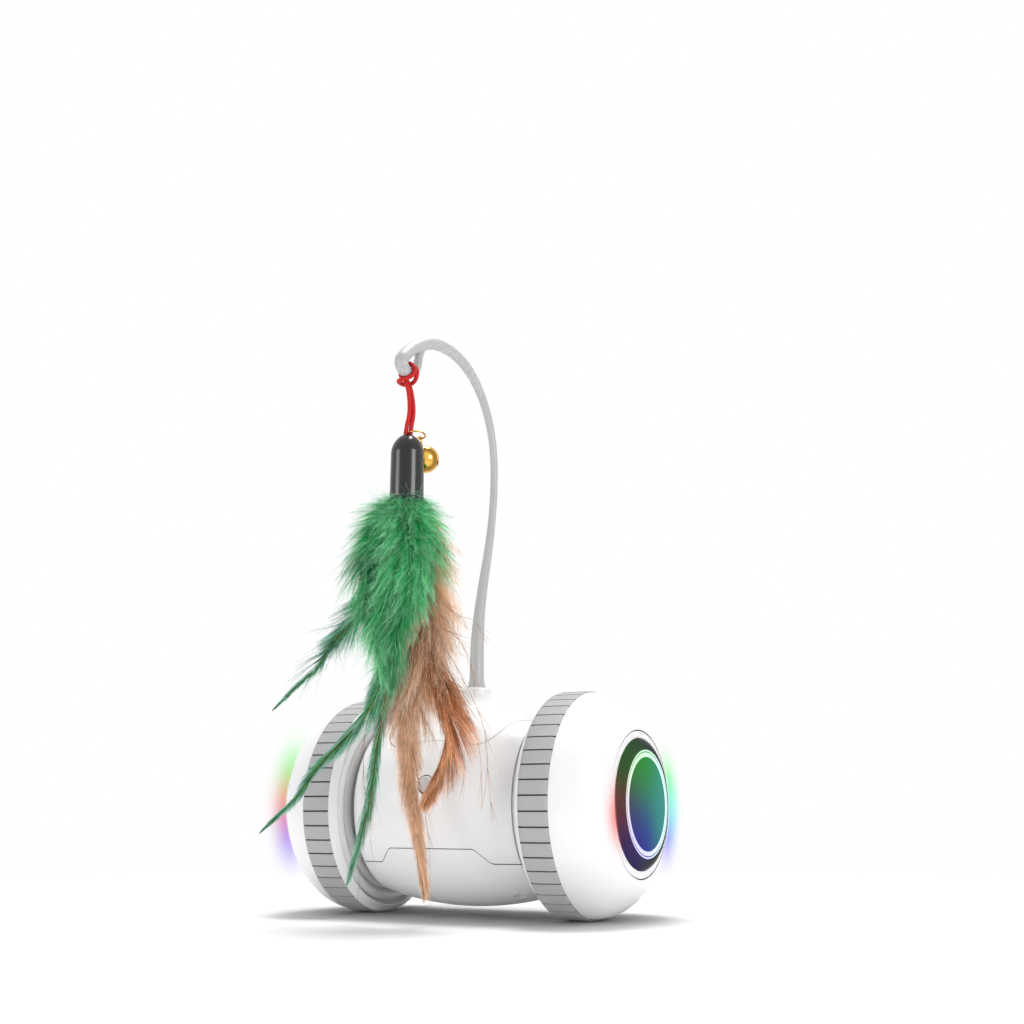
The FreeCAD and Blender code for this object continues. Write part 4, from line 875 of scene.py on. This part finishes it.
BACK_TUFTS = [
    tuft([(-1.2, -52, 147), (-7.5, -52, 144.5), (-13, -53, 139), (-16, -54, 130)], 0.5, 0.8, 0.75),
    tuft([(-1.4, -50, 147), (-9, -47.5, 141), (-15, -46, 132), (-16, -45, 121)], 0.66, 1.0, 0.85),
    tuft([(-0.8, -51, 147), (-5, -53, 130), (-10, -54, 116), (-10, -54, 100)], 0.24),
    tuft([(-0.2, -49.5, 147), (-3, -47, 128), (-7.5, -46, 108), (-7, -47, 90)], 0.4),
    tuft([(0.8, -50, 147), (5.0, -49.5, 131), (4, -49, 113), (-1, -50, 95)], 0.3),
    tuft([(1.8, -51, 147), (8.0, -50, 139), (11, -50, 128), (9.5, -50, 115)], 0.7, 0.8, 0.85),
    tuft([(1.5, -50, 147), (5, -47, 137), (8, -45, 124), (6, -44.5, 108)], 0.55, 0.9, 0.9),
]


def fringe(feathers, share):
    """The same feathers with sparse fine hairs that stand further out."""
    return [dict(one, barbs=share, splay=(76, 40), ragged=0.65, curl=0.12, sag=0.10, unruly=0.3, quill=0.05,
                 half=[(spot, size * 1.45) for spot, size in one["half"]]) for one in feathers]


class CATTOY_OT_plume(bpy.types.Operator):
    """Make the green fluffy plume under the cap"""

    bl_idname = "cattoy.plume"
    bl_label = "Green Plume"

    def execute(self, context):
        lure, colours = context.scene.cattoy_lure, context.scene.cattoy_finishes
        tips = colours.plume_tips
        material = feathered("plume green", shade_of(colours.plume, 0.42), colours.plume, tips,
                             (0.16, 0.46, 0.20), 1.05, 0.50)
        pale = feathered("plume fringe", colours.plume, tips, shade_of(tips, 1.35), (0.20, 0.52, 0.26),
                         0.5, 0.4)
        for name, tufts, shift in (("plume_front", FRONT_TUFTS + COLLAR, 1), ("plume_back", BACK_TUFTS, 2)):
            feathers = [dict(one, barbs=int(lure.plume_barbs * one["barbs"])) for one in tufts]
            fluff = grow(name, feathers, downy_barb(), material, lure.plume_width, lure, shift)
            hairs = grow(name + "_fringe", fringe(tufts, lure.fringe_hairs), plain_barb(6), pale,
                         lure.fringe_width, lure, shift + 20, frizz=1.6, twist=1.5)
            hang_on_lure((fluff, hairs), "green_plume")
        return {"FINISHED"}


HACKLES = [
    dict(line=[(-5, -54, 119), (-10, -55, 113.5), (-14.9, -55, 109.2), (-18.9, -55.5, 103.7),
         (-28.4, -56, 94.7), (-33.3, -56, 87.8), (-42.6, -56, 81.1), (-52.8, -56, 73.1)], barbs=1500,
         shade=0.55, loft=0.14, splay=(26, 7), tufts=60, half=[(0.0, 4.0), (0.15, 6.2), (0.32, 4.8),
         (0.46, 2.2), (0.6, 1.25), (0.85, 0.8), (1.0, 0.1)], ragged=0.55, curl=0.16, stray=0.02,
         unruly=0.01, pinch=0.05, scatter=0.04, streaks=0.25),
    dict(line=[(1, -56, 97), (-3.5, -57, 86), (-7.1, -57, 77.1), (-9.4, -57.5, 72.7),
         (-16.8, -58.5, 63.6), (-28.4, -59.5, 53.0), (-37.6, -60, 42.3), (-53.1, -60, 30.0)], barbs=1700,
         loft=0.1, splay=(12, 7), tufts=70, quill=0.3, half=[(0.0, 3.0), (0.2, 2.9), (0.35, 2.4),
         (0.5, 1.8), (0.7, 1.3), (0.85, 0.9), (0.95, 0.4), (1.0, 0.1)], stray=0.01, unruly=0.0, pinch=0.0,
         scatter=0.02, streaks=0.22),
    dict(line=[(-1.5, -55, 95), (-4.3, -55, 79.5), (-5.5, -55, 71.5), (-8.2, -54.5, 57.9),
         (-10.2, -54, 45.6), (-13.3, -54, 32.2), (-16.4, -54, 22.2), (-19.5, -54, 12.8)], barbs=1100,
         shade=0.55, loft=0.14, splay=(10, 5), tufts=60, quill=0.26, half=[(0.0, 2.4), (0.5, 2.0),
         (0.7, 1.5), (0.88, 0.8), (1.0, 0.1)], ragged=0.5, stray=0.02, unruly=0.02, pinch=0.0,
         scatter=0.035, streaks=0.3),
]
HANGING_HAIRS = [
    dict(line=[(-12, -55, 110.5), (-18.9, -55.5, 102), (-27, -56, 94)], barbs=46, shade=0.6, loft=0.3,
         splay=(58, 44), tufts=6, quill=0.05, half=[(0.0, 7.0), (0.5, 8.5), (1.0, 6.0)], ragged=0.5,
         sag=0.35, curl=-0.1, stray=0.08, unruly=0.2, pinch=1.2, scatter=0.1),
    dict(line=[(-14.9, -55, 109.2), (-18.9, -55.5, 103.7), (-28.4, -56, 94.7), (-36, -56, 86)], barbs=60,
         shade=0.35, loft=0.3, splay=(24, 14), tufts=9, quill=0.05, half=[(0.0, 7.0), (0.6, 5.5),
         (1.0, 3.0)], ragged=0.4, stray=0.05, unruly=0.1, pinch=0.8, scatter=0.06),
]


class CATTOY_OT_hackles(bpy.types.Operator):
    """Make the three long narrow green feathers"""

    bl_idname = "cattoy.hackles"
    bl_label = "Long Hackles"

    def execute(self, context):
        lure, colours = context.scene.cattoy_lure, context.scene.cattoy_finishes
        material = feathered("hackle green", (0.13, 0.21, 0.045), colours.hackle, (0.28, 0.50, 0.40),
                             (0.045, 0.050, 0.016), 1.1, 0.45)
        blades = grow("long_hackle_feathers", HACKLES, plain_barb(), material, lure.hackle_width, lure, 3,
                      frizz=0.35, twist=0.35)
        pale = feathered("hackle hairs", (0.05, 0.16, 0.09), (0.16, 0.38, 0.30), (0.36, 0.62, 0.55),
                         (0.06, 0.10, 0.05), 0.7, 0.5)
        hairs = grow("long_hackle_hairs", HANGING_HAIRS, plain_barb(8), pale, lure.hackle_width, lure, 8,
                     frizz=0.8, twist=0.8)
        hang_on_lure((blades, hairs), "long_hackles")
        return {"FINISHED"}


TAN_VANE = [
    dict(line=[(0, -50.5, 106), (0.6, -50.5, 95.9), (-0.3, -50.5, 86.6), (-0.6, -50, 76.3),
         (1.0, -50, 63.6), (2.0, -50, 51.1), (4.3, -50, 38.9), (6.6, -50, 27.9), (8.1, -50, 18.2),
         (9.2, -50, 9.6)], barbs=2300, loft=0.1, splay=(24, 7), tufts=80, quill=0.22, half=[(0.0, 5.0),
         (0.2, 5.8), (0.38, 4.6), (0.52, 3.6), (0.66, 2.6), (0.8, 1.7), (0.92, 1.0), (1.0, 0.2)],
         curl=0.3, stray=0.015, unruly=0.0, pinch=0.0, scatter=0.04, streaks=0.2),
    dict(line=[(3.0, -50.5, 40), (6.0, -50.5, 27.9), (9.5, -50.5, 17), (11.4, -50.5, 8.8)], barbs=260,
         shade=0.55, loft=0.2, splay=(9, 6), tufts=6, quill=0.12, half=[(0.0, 1.6), (0.7, 0.8),
         (1.0, 0.1)], ragged=0.4, pinch=0.1),
]


def down(line, shade, size, barbs, splay=(62, 34), left_share=0.12, tufts=6):
    """One soft tan feather whose hairs stand mostly to the right and gather in loose locks."""
    return dict(line=line, barbs=barbs, shade=shade, loft=0.7, splay=splay, tufts=tufts, quill=0.06,
                half=[(0.0, 0.7 * size), (0.4, size), (1.0, 0.7 * size)], ragged=0.6, sag=0.22, curl=0.25,
                stray=0.10, unruly=0.20, pinch=0.9, scatter=0.14, left_share=left_share, streaks=0.15)


TAN_DOWN = [
    down([(3, -50, 144), (7, -49, 136), (8, -49, 126), (8, -49, 116)], 0.7, 11.0, 420),
    down([(5, -50, 128), (9, -49, 120), (10, -49, 112), (10, -49, 103)], 0.66, 13.0, 620),
    down([(5, -50, 116), (9, -49.5, 106), (10, -49.5, 97), (11, -50, 88)], 0.5, 11.0, 900, (56, 30)),
    down([(3, -50, 108), (7, -50, 98), (9, -50, 88), (11, -50, 78)], 0.42, 9.0, 900, (44, 24), 0.3, 5),
    down([(1, -50.5, 102), (3, -50.5, 92), (5, -50.5, 82), (6, -50.5, 72)], 0.55, 6.5, 800, (34, 18), 0.5,
         5),
    down([(-2, -54, 92), (-3.5, -54.5, 82), (-5, -54.5, 70)], 0.52, 3.4, 240, (24, 14), 0.5, 5),
]
WISP_LINES = [
    [(12, -49, 90), (20, -49, 80), (23.4, -49, 69.7), (23.9, -49, 58.6), (23.2, -49, 45)],
    [(14, -49, 88), (20.4, -49, 78.9), (27.1, -49, 65.2), (30, -49, 54.1), (30.5, -49, 40)],
    [(16, -49, 92), (25.7, -49, 76.4), (31.6, -49, 62.8), (33, -49, 47.5), (35, -49, 34)],
    [(-6, -54, 84), (-13.5, -54, 64), (-13, -54, 36.6), (-14.1, -54, 16.6), (-15.1, -54, 5.5)],
    [(-5, -54, 82), (-9.6, -54, 63.9), (-10.2, -54, 47.9), (-10.4, -54, 29.9), (-8.5, -54, 21)],
    [(3, -50, 60), (9.1, -50, 36.7), (11.3, -50, 22.5), (11.2, -50, 9.6)],
    [(13, -49, 100), (20, -49, 96), (25, -49, 89), (27.5, -49, 80)],
    [(10, -49, 112), (20, -49, 104), (27, -49, 101), (31, -49, 95)],
]
LOOSE_WISPS = [dict(line=line, barbs=14, shade=0.55, loft=0.6, splay=(7, 5), tufts=3, quill=0.11, ragged=0.6,
                    half=[(0.0, 2.2), (0.6, 1.6), (1.0, 0.6)], stray=0.05, pinch=0.0) for line in WISP_LINES]


class CATTOY_OT_tan_feathers(bpy.types.Operator):
    """Make the long tan feather, the tan fluff beside it and the loose wisps"""

    bl_idname = "cattoy.tan_feathers"
    bl_label = "Tan Feathers"

    def execute(self, context):
        lure, colours = context.scene.cattoy_lure, context.scene.cattoy_finishes
        tan, pale, stem = colours.tan, colours.tan_tips, (0.55, 0.30, 0.17)
        vane = feathered("feather tan", shade_of(tan, 0.92), tan, pale, stem, 0.9, 0.5)
        soft = feathered("down tan", (0.70, 0.38, 0.20), tan, pale, stem, 0.9, 0.35)
        thin = feathered("wisp brown", (0.34, 0.15, 0.07), (0.46, 0.24, 0.13), (0.62, 0.40, 0.27),
                         (0.38, 0.18, 0.09), 0.5, 0.5)
        made = (
            grow("tan_feather_vane", TAN_VANE, plain_barb(), vane, lure.vane_width, lure, 4, 0.3, 0.35),
            grow("tan_down", TAN_DOWN, downy_barb(5, 7.0), soft, lure.fringe_width, lure, 9, 1.3, 0.9),
            grow("tan_wisps", LOOSE_WISPS, plain_barb(10), thin, lure.vane_width, lure, 5, 2.2, 1.2),
        )
        hang_on_lure(made, "tan_feathers")
        return {"FINISHED"}


RUST_FEATHER = [
    dict(line=[(4, -50.5, 104), (6.9, -50.5, 93.2), (13.5, -51, 81.3), (19.0, -52, 70.5),
         (19.7, -53, 59.6), (16.9, -53.5, 50.8), (14.1, -54, 44.3), (11.3, -54, 39.4)], barbs=2300,
         loft=0.1, splay=(22, 8), tufts=70, quill=0.22, half=[(0.0, 3.8), (0.22, 5.8), (0.4, 5.6),
         (0.55, 4.2), (0.7, 3.0), (0.85, 1.8), (1.0, 0.2)], curl=0.26, stray=0.02, unruly=0.0, pinch=0.0,
         scatter=0.04, streaks=0.25),
    dict(line=[(5, -50.5, 98), (11, -51, 88), (17, -51.5, 80), (21.5, -52, 72)], barbs=620, shade=0.42,
         loft=0.4, splay=(34, 20), tufts=9, quill=0.12, half=[(0.0, 3.5), (0.6, 4.5), (1.0, 2.5)],
         ragged=0.6, curl=0.16, stray=0.1, unruly=0.2, pinch=0.7, scatter=0.12),
]


class CATTOY_OT_rust_feather(bpy.types.Operator):
    """Make the curved rust brown feather"""

    bl_idname = "cattoy.rust_feather"
    bl_label = "Rust Feather"

    def execute(self, context):
        lure, colours = context.scene.cattoy_lure, context.scene.cattoy_finishes
        material = feathered("feather rust", shade_of(colours.rust, 0.75), colours.rust, (0.76, 0.40, 0.22),
                             (0.30, 0.12, 0.05), 1.2, 0.5)
        piece = grow("rust_feather_vane", RUST_FEATHER, plain_barb(), material, lure.vane_width, lure, 6,
                     frizz=0.4, twist=0.45)
        hang_on_lure((piece,), "rust_feather")
        return {"FINISHED"}


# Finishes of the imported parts

class CATTOY_OT_barrel(bpy.types.Operator):
    """Finish the barrel's shells, cover, end frames and button"""

    bl_idname = "cattoy.barrel"
    bl_label = "Barrel"

    def execute(self, context):
        colours = context.scene.cattoy_finishes
        satin = dict(depth=0.000002, mottle=0.012, coat=0.2, wear=0.02)
        # The white parts get painted shade in their seams and creases; the barrel's shells get a darker,
        # wider painted shade along their seams.
        dress(moulded("shell white", colours.shell, 0.30, crease_shade=0.55, **satin),
              *both("wheel_hub", "wheel_cover", "lens_seat"))
        dress(moulded("shell seams", colours.shell, 0.32, crease_shade=0.90, reach=0.0030, **satin), "upper_shell",
              "lower_shell", "top_cover")
        dress(moulded("frame grey", colours.end_frame, 0.45, depth=0.00002, mottle=0.05, crease_shade=0.5),
              *both("end_frame"))
        dress(moulded("button grey", colours.button, 0.40, 0.00002, 2200.0, mottle=0.06, crease_shade=0.6),
              "power_button")
        return {"FINISHED"}


class CATTOY_OT_wheels(bpy.types.Operator):
    """Finish the tyres and the running parts of the wheels"""

    bl_idname = "cattoy.wheels"
    bl_label = "Wheels"

    def execute(self, context):
        grey = context.scene.cattoy_finishes.tread
        rubber = moulded("tread grey", grey, 0.72, 0.00004, 1900.0, mottle=0.10, crease_shade=0.0)
        tree, shader, before = shader_of(rubber)
        split = parts(tree, object_place(tree))
        height = calc(tree, "SUBTRACT", split["Z"], AXLE_HEIGHT)
        square = calc(tree, "ADD", product(tree, height, height), product(tree, split["Y"], split["Y"]))
        # Painted shade: the floors of the tread's grooves are coloured near black.
        low, high = (TREAD_RADIUS - depth for depth in GROOVE_DEPTHS)
        groove_shade = product(tree, spread(tree, calc(tree, "SQRT", square), low, high, 1.0, 0.0), 0.80)
        dust = spread(tree, grain(tree, object_place(tree), 700.0, 4.0, 0.7), 0.52, 0.8)
        dusty = mixed(tree, product(tree, dust, 0.25), before, (0.55, 0.54, 0.52))
        give(tree, shader.inputs, Base_Color=mixed(tree, groove_shade, dusty, (0.02, 0.02, 0.022)))
        dress(rubber, *both("tyre"))
        dress(moulded("bush natural", (0.80, 0.79, 0.74), 0.35, mottle=0.06), *both("wheel_bush"))
        dress(metal("screw steel", (0.55, 0.55, 0.57), 0.28, (1.0, 0.12, 1.0)), "board_screws",
              "shell_screws", "charging_socket", *both("motor_screws", "retaining_ring", "motor_shaft"))
        dress(metal("pinion brass", (0.72, 0.52, 0.22), 0.30, (0.1, 1.0, 1.0)), *both("drive_pinion"))
        return {"FINISHED"}


class CATTOY_OT_lamps(bpy.types.Operator):
    """Finish the lit lenses, their light rings, boards and leads"""

    bl_idname = "cattoy.lamps"
    bl_label = "Lamps"

    def execute(self, context):
        material, tree, shader = new_material("lens dark")
        wire_up(tree, shader, moulded_skin(), ("Roughness", "Normal"), Roughness=0.12, Grain_Depth=0.000003,
                Grain_Scale=2600.0, Seam_Shade=0.0)
        face = use(tree, lit_colours())
        border = use(tree, lit_colours(), Red=(0.15, 0.030, 0.024), Green=(0.020, 0.10, 0.015),
                     Teal=(0.016, 0.040, 0.042), Blue=(0.020, 0.014, 0.12), Rim=(0.016, 0.016, 0.018),
                     Rim_Share=0.25, Reach=0.45, Red_Place=(1.0, -0.1, 0.0), Green_Place=(0.72, 0.58, 0.0),
                     Blue_Place=(0.72, -0.62, 0.0))
        band = spread(tree, face["Distance"], 0.80, 0.84)
        specks = spread(tree, grain(tree, object_place(tree), 1400.0), 0.70, 0.82, 0.0, 0.35)
        give(tree, shader.inputs, Base_Color=mixed(tree, specks, (0.012, 0.012, 0.014), (0.16, 0.16, 0.17)),
             Emission_Color=mixed(tree, band, face["Colour"], border["Colour"]))
        tune(shader, Emission_Strength=1.0, Specular_IOR_Level=0.012)
        dress(material, *both("lens"))

        material, tree, shader = new_material("ring glow")
        wire_up(tree, shader, moulded_skin(), ("Roughness", "Normal"), Roughness=0.25, Seam_Shade=0.0)
        ring = use(tree, lit_colours(), Red=(0.80, 0.50, 0.46), Green=(0.36, 0.95, 0.38),
                   Teal=(0.50, 0.98, 0.96), Blue=(0.40, 0.36, 0.98), Rim=(0.75, 0.75, 0.78), Rim_Share=0.25)
        give(tree, shader.inputs, Emission_Color=ring["Colour"])
        tune(shader, Base_Color=(0.25, 0.27, 0.28), Emission_Strength=0.85)
        dress(material, *both("light_ring"))

        dress(moulded("led board white", (0.80, 0.82, 0.80), 0.40, mottle=0.08), *both("led_board"))
        dress(moulded("lead red", (0.55, 0.05, 0.05), 0.5, 0.00002, mottle=0.1), *both("led_leads"))
        return {"FINISHED"}


class CATTOY_OT_wand(bpy.types.Operator):
    """Finish the wand and its socket"""

    bl_idname = "cattoy.wand"
    bl_label = "Wand"

    def execute(self, context):
        grey = context.scene.cattoy_finishes.wand
        dress(moulded("wand grey", grey, 0.40, 0.000002, 1600.0, mottle=0.03, crease_shade=0.0, coat=0.1), "wand")
        dress(moulded("socket grey", shade_of(grey, 1.1), 0.55, 0.00003, 2200.0, mottle=0.08), "wand_socket")
        return {"FINISHED"}


class CATTOY_OT_lure_fittings(bpy.types.Operator):
    """Finish the cap, bell, ring and quill plug"""

    bl_idname = "cattoy.lure_fittings"
    bl_label = "Lure Fittings"

    def execute(self, context):
        colours = context.scene.cattoy_finishes
        dress(moulded("cap black", colours.cap, 0.20, 0.00002, 900.0, mottle=0.3, crease_shade=0.2, wear=0.06),
              "lure_cap")
        gold = metal("bell gold", colours.gold, 0.08, scale=1500.0, depth=0.00002)
        tree, shader, plain = shader_of(gold)
        # Painted reflection: the gold's colour is darkened towards brown in a band set by which way the
        # surface faces the view, as if it mirrored a dark room; it moves with the view.
        facing = place(tree, "ShaderNodeLayerWeight", {"Blend": 0.5}).outputs["Facing"]
        band = product(tree, spread(tree, facing, 0.10, 0.26), spread(tree, facing, 0.62, 0.42), 0.75)
        give(tree, shader.inputs, Base_Color=mixed(tree, band, plain, (0.20, 0.09, 0.01)))
        dress(gold, "bell_shell", "jump_ring", "bell_clapper")
        dress(moulded("quill tan", (0.55, 0.42, 0.28), 0.6, 0.0001, 1200.0, mottle=0.5, sheen=0.2),
              "quill_plug")
        return {"FINISHED"}


class CATTOY_OT_inner_parts(bpy.types.Operator):
    """Finish the parts inside the barrel"""

    bl_idname = "cattoy.inner_parts"
    bl_label = "Inner Parts"

    def execute(self, context):
        dress(moulded("inner black", (0.06, 0.06, 0.07), 0.45, 0.00002, mottle=0.15), "button_switch",
              "board_chips")
        dress(moulded("chassis grey", (0.42, 0.43, 0.45), 0.5, 0.00003, mottle=0.08), "inner_chassis")
        dress(moulded("board green", (0.03, 0.22, 0.10), 0.35, 0.00002, 1500.0, mottle=0.25, coat=0.3),
              "main_board")
        dress(moulded("cell wrap", (0.10, 0.22, 0.45), 0.35, mottle=0.06, coat=0.3), "battery_cell")
        dress(metal("motor steel", (0.52, 0.52, 0.54), 0.32, (1.0, 0.1, 0.1)), *both("gear_motor"))
        dress(moulded("ballast steel", (0.22, 0.23, 0.24), 0.5, 0.00006, 900.0, mottle=0.2), "ballast_weight")
        return {"FINISHED"}


# The stage

FLOOR_HALF = 6.0
FLOOR_FADE = (0.16, 0.50)
# Reach within which the toy darkens the floor's colour as a painted shadow
SHADOW_REACH = 0.085
HAZE_RINGS = 12
HAZE_SPOKES = 64
HAZE_GROWTH = 0.78

# Each lamp's place, aim and size
LAMPS = {
    "key": ((-0.04, 0.16, 0.95), (0.0, 0.0, 0.05), 0.32),
    "fill": ((-0.55, -0.80, 0.26), (0.0, 0.0, 0.08), 0.42),
    "side": ((0.80, -0.24, 0.28), (0.0, 0.0, 0.05), 0.36),
}

# Each haze's place along the axle and the reach and places of its colours, counted in lens radii
HAZES = {
    "left": (-0.0702, dict(Reach=0.50, Red_Place=(1.12, 0.0, 0.0), Green_Place=(1.08, 0.66, 0.0),
                           Teal_Place=(-1.15, 0.0, 0.0), Blue_Place=(1.06, -0.66, 0.0))),
    "right": (0.0678, dict(Reach=0.42, Red_Place=(1.08, -0.20, 0.0), Green_Place=(-1.12, 0.38, 0.0),
                           Teal_Place=(-1.28, -0.08, 0.0), Blue_Place=(-1.02, -0.56, 0.0))),
}


def end_in(tree, factor, first, second):
    """Mix two shaders and let the material show the mix."""
    mix = place(tree, "ShaderNodeMixShader", {0: factor, 1: first.outputs[0], 2: second.outputs[0]})
    tree.links.new(mix.outputs[0], tree.nodes["Material Output"].inputs["Surface"])


def floor_finish(settings):
    """Pale floor that keeps its shadows near the toy, darkens its colour as a painted shadow where the toy
    closes it in, and fades to white further out.
    """
    material, tree, shader = new_material("studio floor")
    where = object_place(tree)
    pale = mixed(tree, grain(tree, where, 90.0, 3.0), (0.92, 0.92, 0.92), (0.95, 0.95, 0.95))
    seen = straight_view(tree)
    # Painted shadow: where the toy closes the floor in, the colour that the camera sees darkens by up to 62
    # in 100.
    under = spread(tree, open_share(tree, SHADOW_REACH, 16), 0.20, 0.90, 0.62, 0.0)
    level = calc(tree, "SUBTRACT", 1.0, product(tree, under, seen))
    give(tree, shader.inputs, Base_Color=scaled(tree, pale, level))
    tune(shader, Roughness=0.9, Specular_IOR_Level=0.2)
    lift = place(tree, "ShaderNodeEmission", {"Strength": product(tree, seen, settings.floor_lift)})
    near = place(tree, "ShaderNodeAddShader", {0: shader.outputs[0], 1: lift.outputs[0]})
    away = spread(tree, vector_calc(tree, "LENGTH", where), *FLOOR_FADE)
    end_in(tree, product(tree, away, seen), near, place(tree, "ShaderNodeEmission", {"Strength": 1.0}))
    return material


def sky_finish(world, settings):
    """Even light all around that the camera, glass and metal see as white."""
    world.use_nodes = True
    tree = world.node_tree
    tree.nodes.clear()
    strength = spread(tree, straight_view(tree), 0.0, 1.0, settings.sky, 1.0, "LINEAR")
    sky = place(tree, "ShaderNodeBackground", {"Color": (1.0, 1.0, 1.0), "Strength": strength})
    place(tree, "ShaderNodeOutputWorld", {"Surface": sky.outputs[0]})


def halo_finish(side, places):
    """Haze of coloured light round a lens, clear inside it and fading outwards."""
    material, tree, shader = new_material(f"{side} lamp haze")
    haze = use(tree, lit_colours(), Red=(1.0, 0.20, 0.16), Green=(0.28, 1.0, 0.32), Teal=(0.16, 1.0, 0.98),
               Blue=(0.36, 0.30, 1.0), Rim_Share=0.0, **places)
    outside = spread(tree, haze["Distance"], 1.01, 1.10)
    fade = spread(tree, haze["Distance"], 0.95, 1.0 + HAZE_GROWTH, 1.0, 0.0)
    near = calc(tree, "MULTIPLY", haze["Strength"], 0.80, clamp=True)
    seen = place(tree, "ShaderNodeLightPath").outputs["Is Camera Ray"]
    glow = place(tree, "ShaderNodeEmission", {"Color": haze["Colour"], "Strength": 1.0})
    clear = place(tree, "ShaderNodeBsdfTransparent")
    end_in(tree, product(tree, outside, near, fade, seen), clear, glow)
    tree.nodes.remove(shader)
    return material


def haze_disc(side, out, places):
    """Open ring round a lens, beside the wheel, that carries the haze."""
    corners = []
    for i in range(HAZE_RINGS + 1):
        radius = LENS_RADIUS * (1.0 + HAZE_GROWTH * i / HAZE_RINGS)
        for j in range(HAZE_SPOKES):
            turn = 2 * math.pi * j / HAZE_SPOKES
            corners.append((out, radius * math.cos(turn), AXLE_HEIGHT + radius * math.sin(turn)))
    disc = new_piece(f"{side}_lamp_haze", corners, list(grid_faces(HAZE_RINGS + 1, HAZE_SPOKES)),
                     halo_finish(side, places))
    disc.visible_shadow = False
    disc.visible_diffuse = False
    disc.visible_glossy = False


def lamp(name, spot, aim, size, power):
    """A soft square lamp aimed at a point."""
    data = bpy.data.lights.new(name, "AREA")
    data.size = size
    data.energy = power
    item = bpy.data.objects.new(name, data)
    bpy.context.scene.collection.objects.link(item)
    item.location = spot
    item.rotation_euler = (Vector(aim) - Vector(spot)).to_track_quat("-Z", "Y").to_euler()


class CATTOY_OT_stage(bpy.types.Operator):
    """Make the floor, the lamps, the sky and the haze round the lenses"""

    bl_idname = "cattoy.stage"
    bl_label = "Stage"

    def execute(self, context):
        settings, scene = context.scene.cattoy_stage, context.scene
        corners = [(x * FLOOR_HALF, y * FLOOR_HALF, 0) for x, y in ((-1, -1), (1, -1), (1, 1), (-1, 1))]
        new_piece("studio_floor", corners, [(0, 1, 2, 3)], floor_finish(settings))
        for side, (out, places) in HAZES.items():
            haze_disc(side, out, places)
        scene.world = bpy.data.worlds.new("studio sky")
        sky_finish(scene.world, settings)
        for name, (spot, aim, size) in LAMPS.items():
            lamp(name + "_lamp", spot, aim, size, getattr(settings, name))
        scene.view_settings.view_transform = "Standard"
        return {"FINISHED"}


# The panel, and running it all

STEPS = (
    CATTOY_OT_camera, CATTOY_OT_elastic, CATTOY_OT_plume, CATTOY_OT_hackles, CATTOY_OT_tan_feathers,
    CATTOY_OT_rust_feather, CATTOY_OT_barrel, CATTOY_OT_wheels, CATTOY_OT_lamps, CATTOY_OT_wand,
    CATTOY_OT_lure_fittings, CATTOY_OT_inner_parts, CATTOY_OT_stage,
)
SETTINGS = {
    "cattoy_finishes": CATTOY_PG_finishes,
    "cattoy_lure": CATTOY_PG_lure,
    "cattoy_stage": CATTOY_PG_stage,
}


class CATTOY_PT_panel(bpy.types.Panel):
    """Lists the steps that build the toy's looks, with their settings"""

    bl_label = "Cat Feather Toy"
    bl_idname = "CATTOY_PT_panel"
    bl_space_type = "VIEW_3D"
    bl_region_type = "UI"
    bl_category = "Cat Toy"

    def draw(self, context):
        for step in STEPS:
            self.layout.operator(step.bl_idname)
        for group in SETTINGS:
            settings = getattr(context.scene, group)
            column = self.layout.column(align=True)
            for name in settings.bl_rna.properties.keys():
                if name not in ("rna_type", "name"):
                    column.prop(settings, name)


CLASSES = (*SETTINGS.values(), *STEPS, CATTOY_PT_panel)


def register():
    for item in CLASSES:
        bpy.utils.register_class(item)
    for name, kind in SETTINGS.items():
        setattr(bpy.types.Scene, name, PointerProperty(type=kind))


def unregister():
    for name in SETTINGS:
        delattr(bpy.types.Scene, name)
    for item in reversed(CLASSES):
        bpy.utils.unregister_class(item)


def main():
    register()
    for step in STEPS:
        group, name = step.bl_idname.split(".")
        getattr(getattr(bpy.ops, group), name)()


if __name__ == "__main__":
    main()
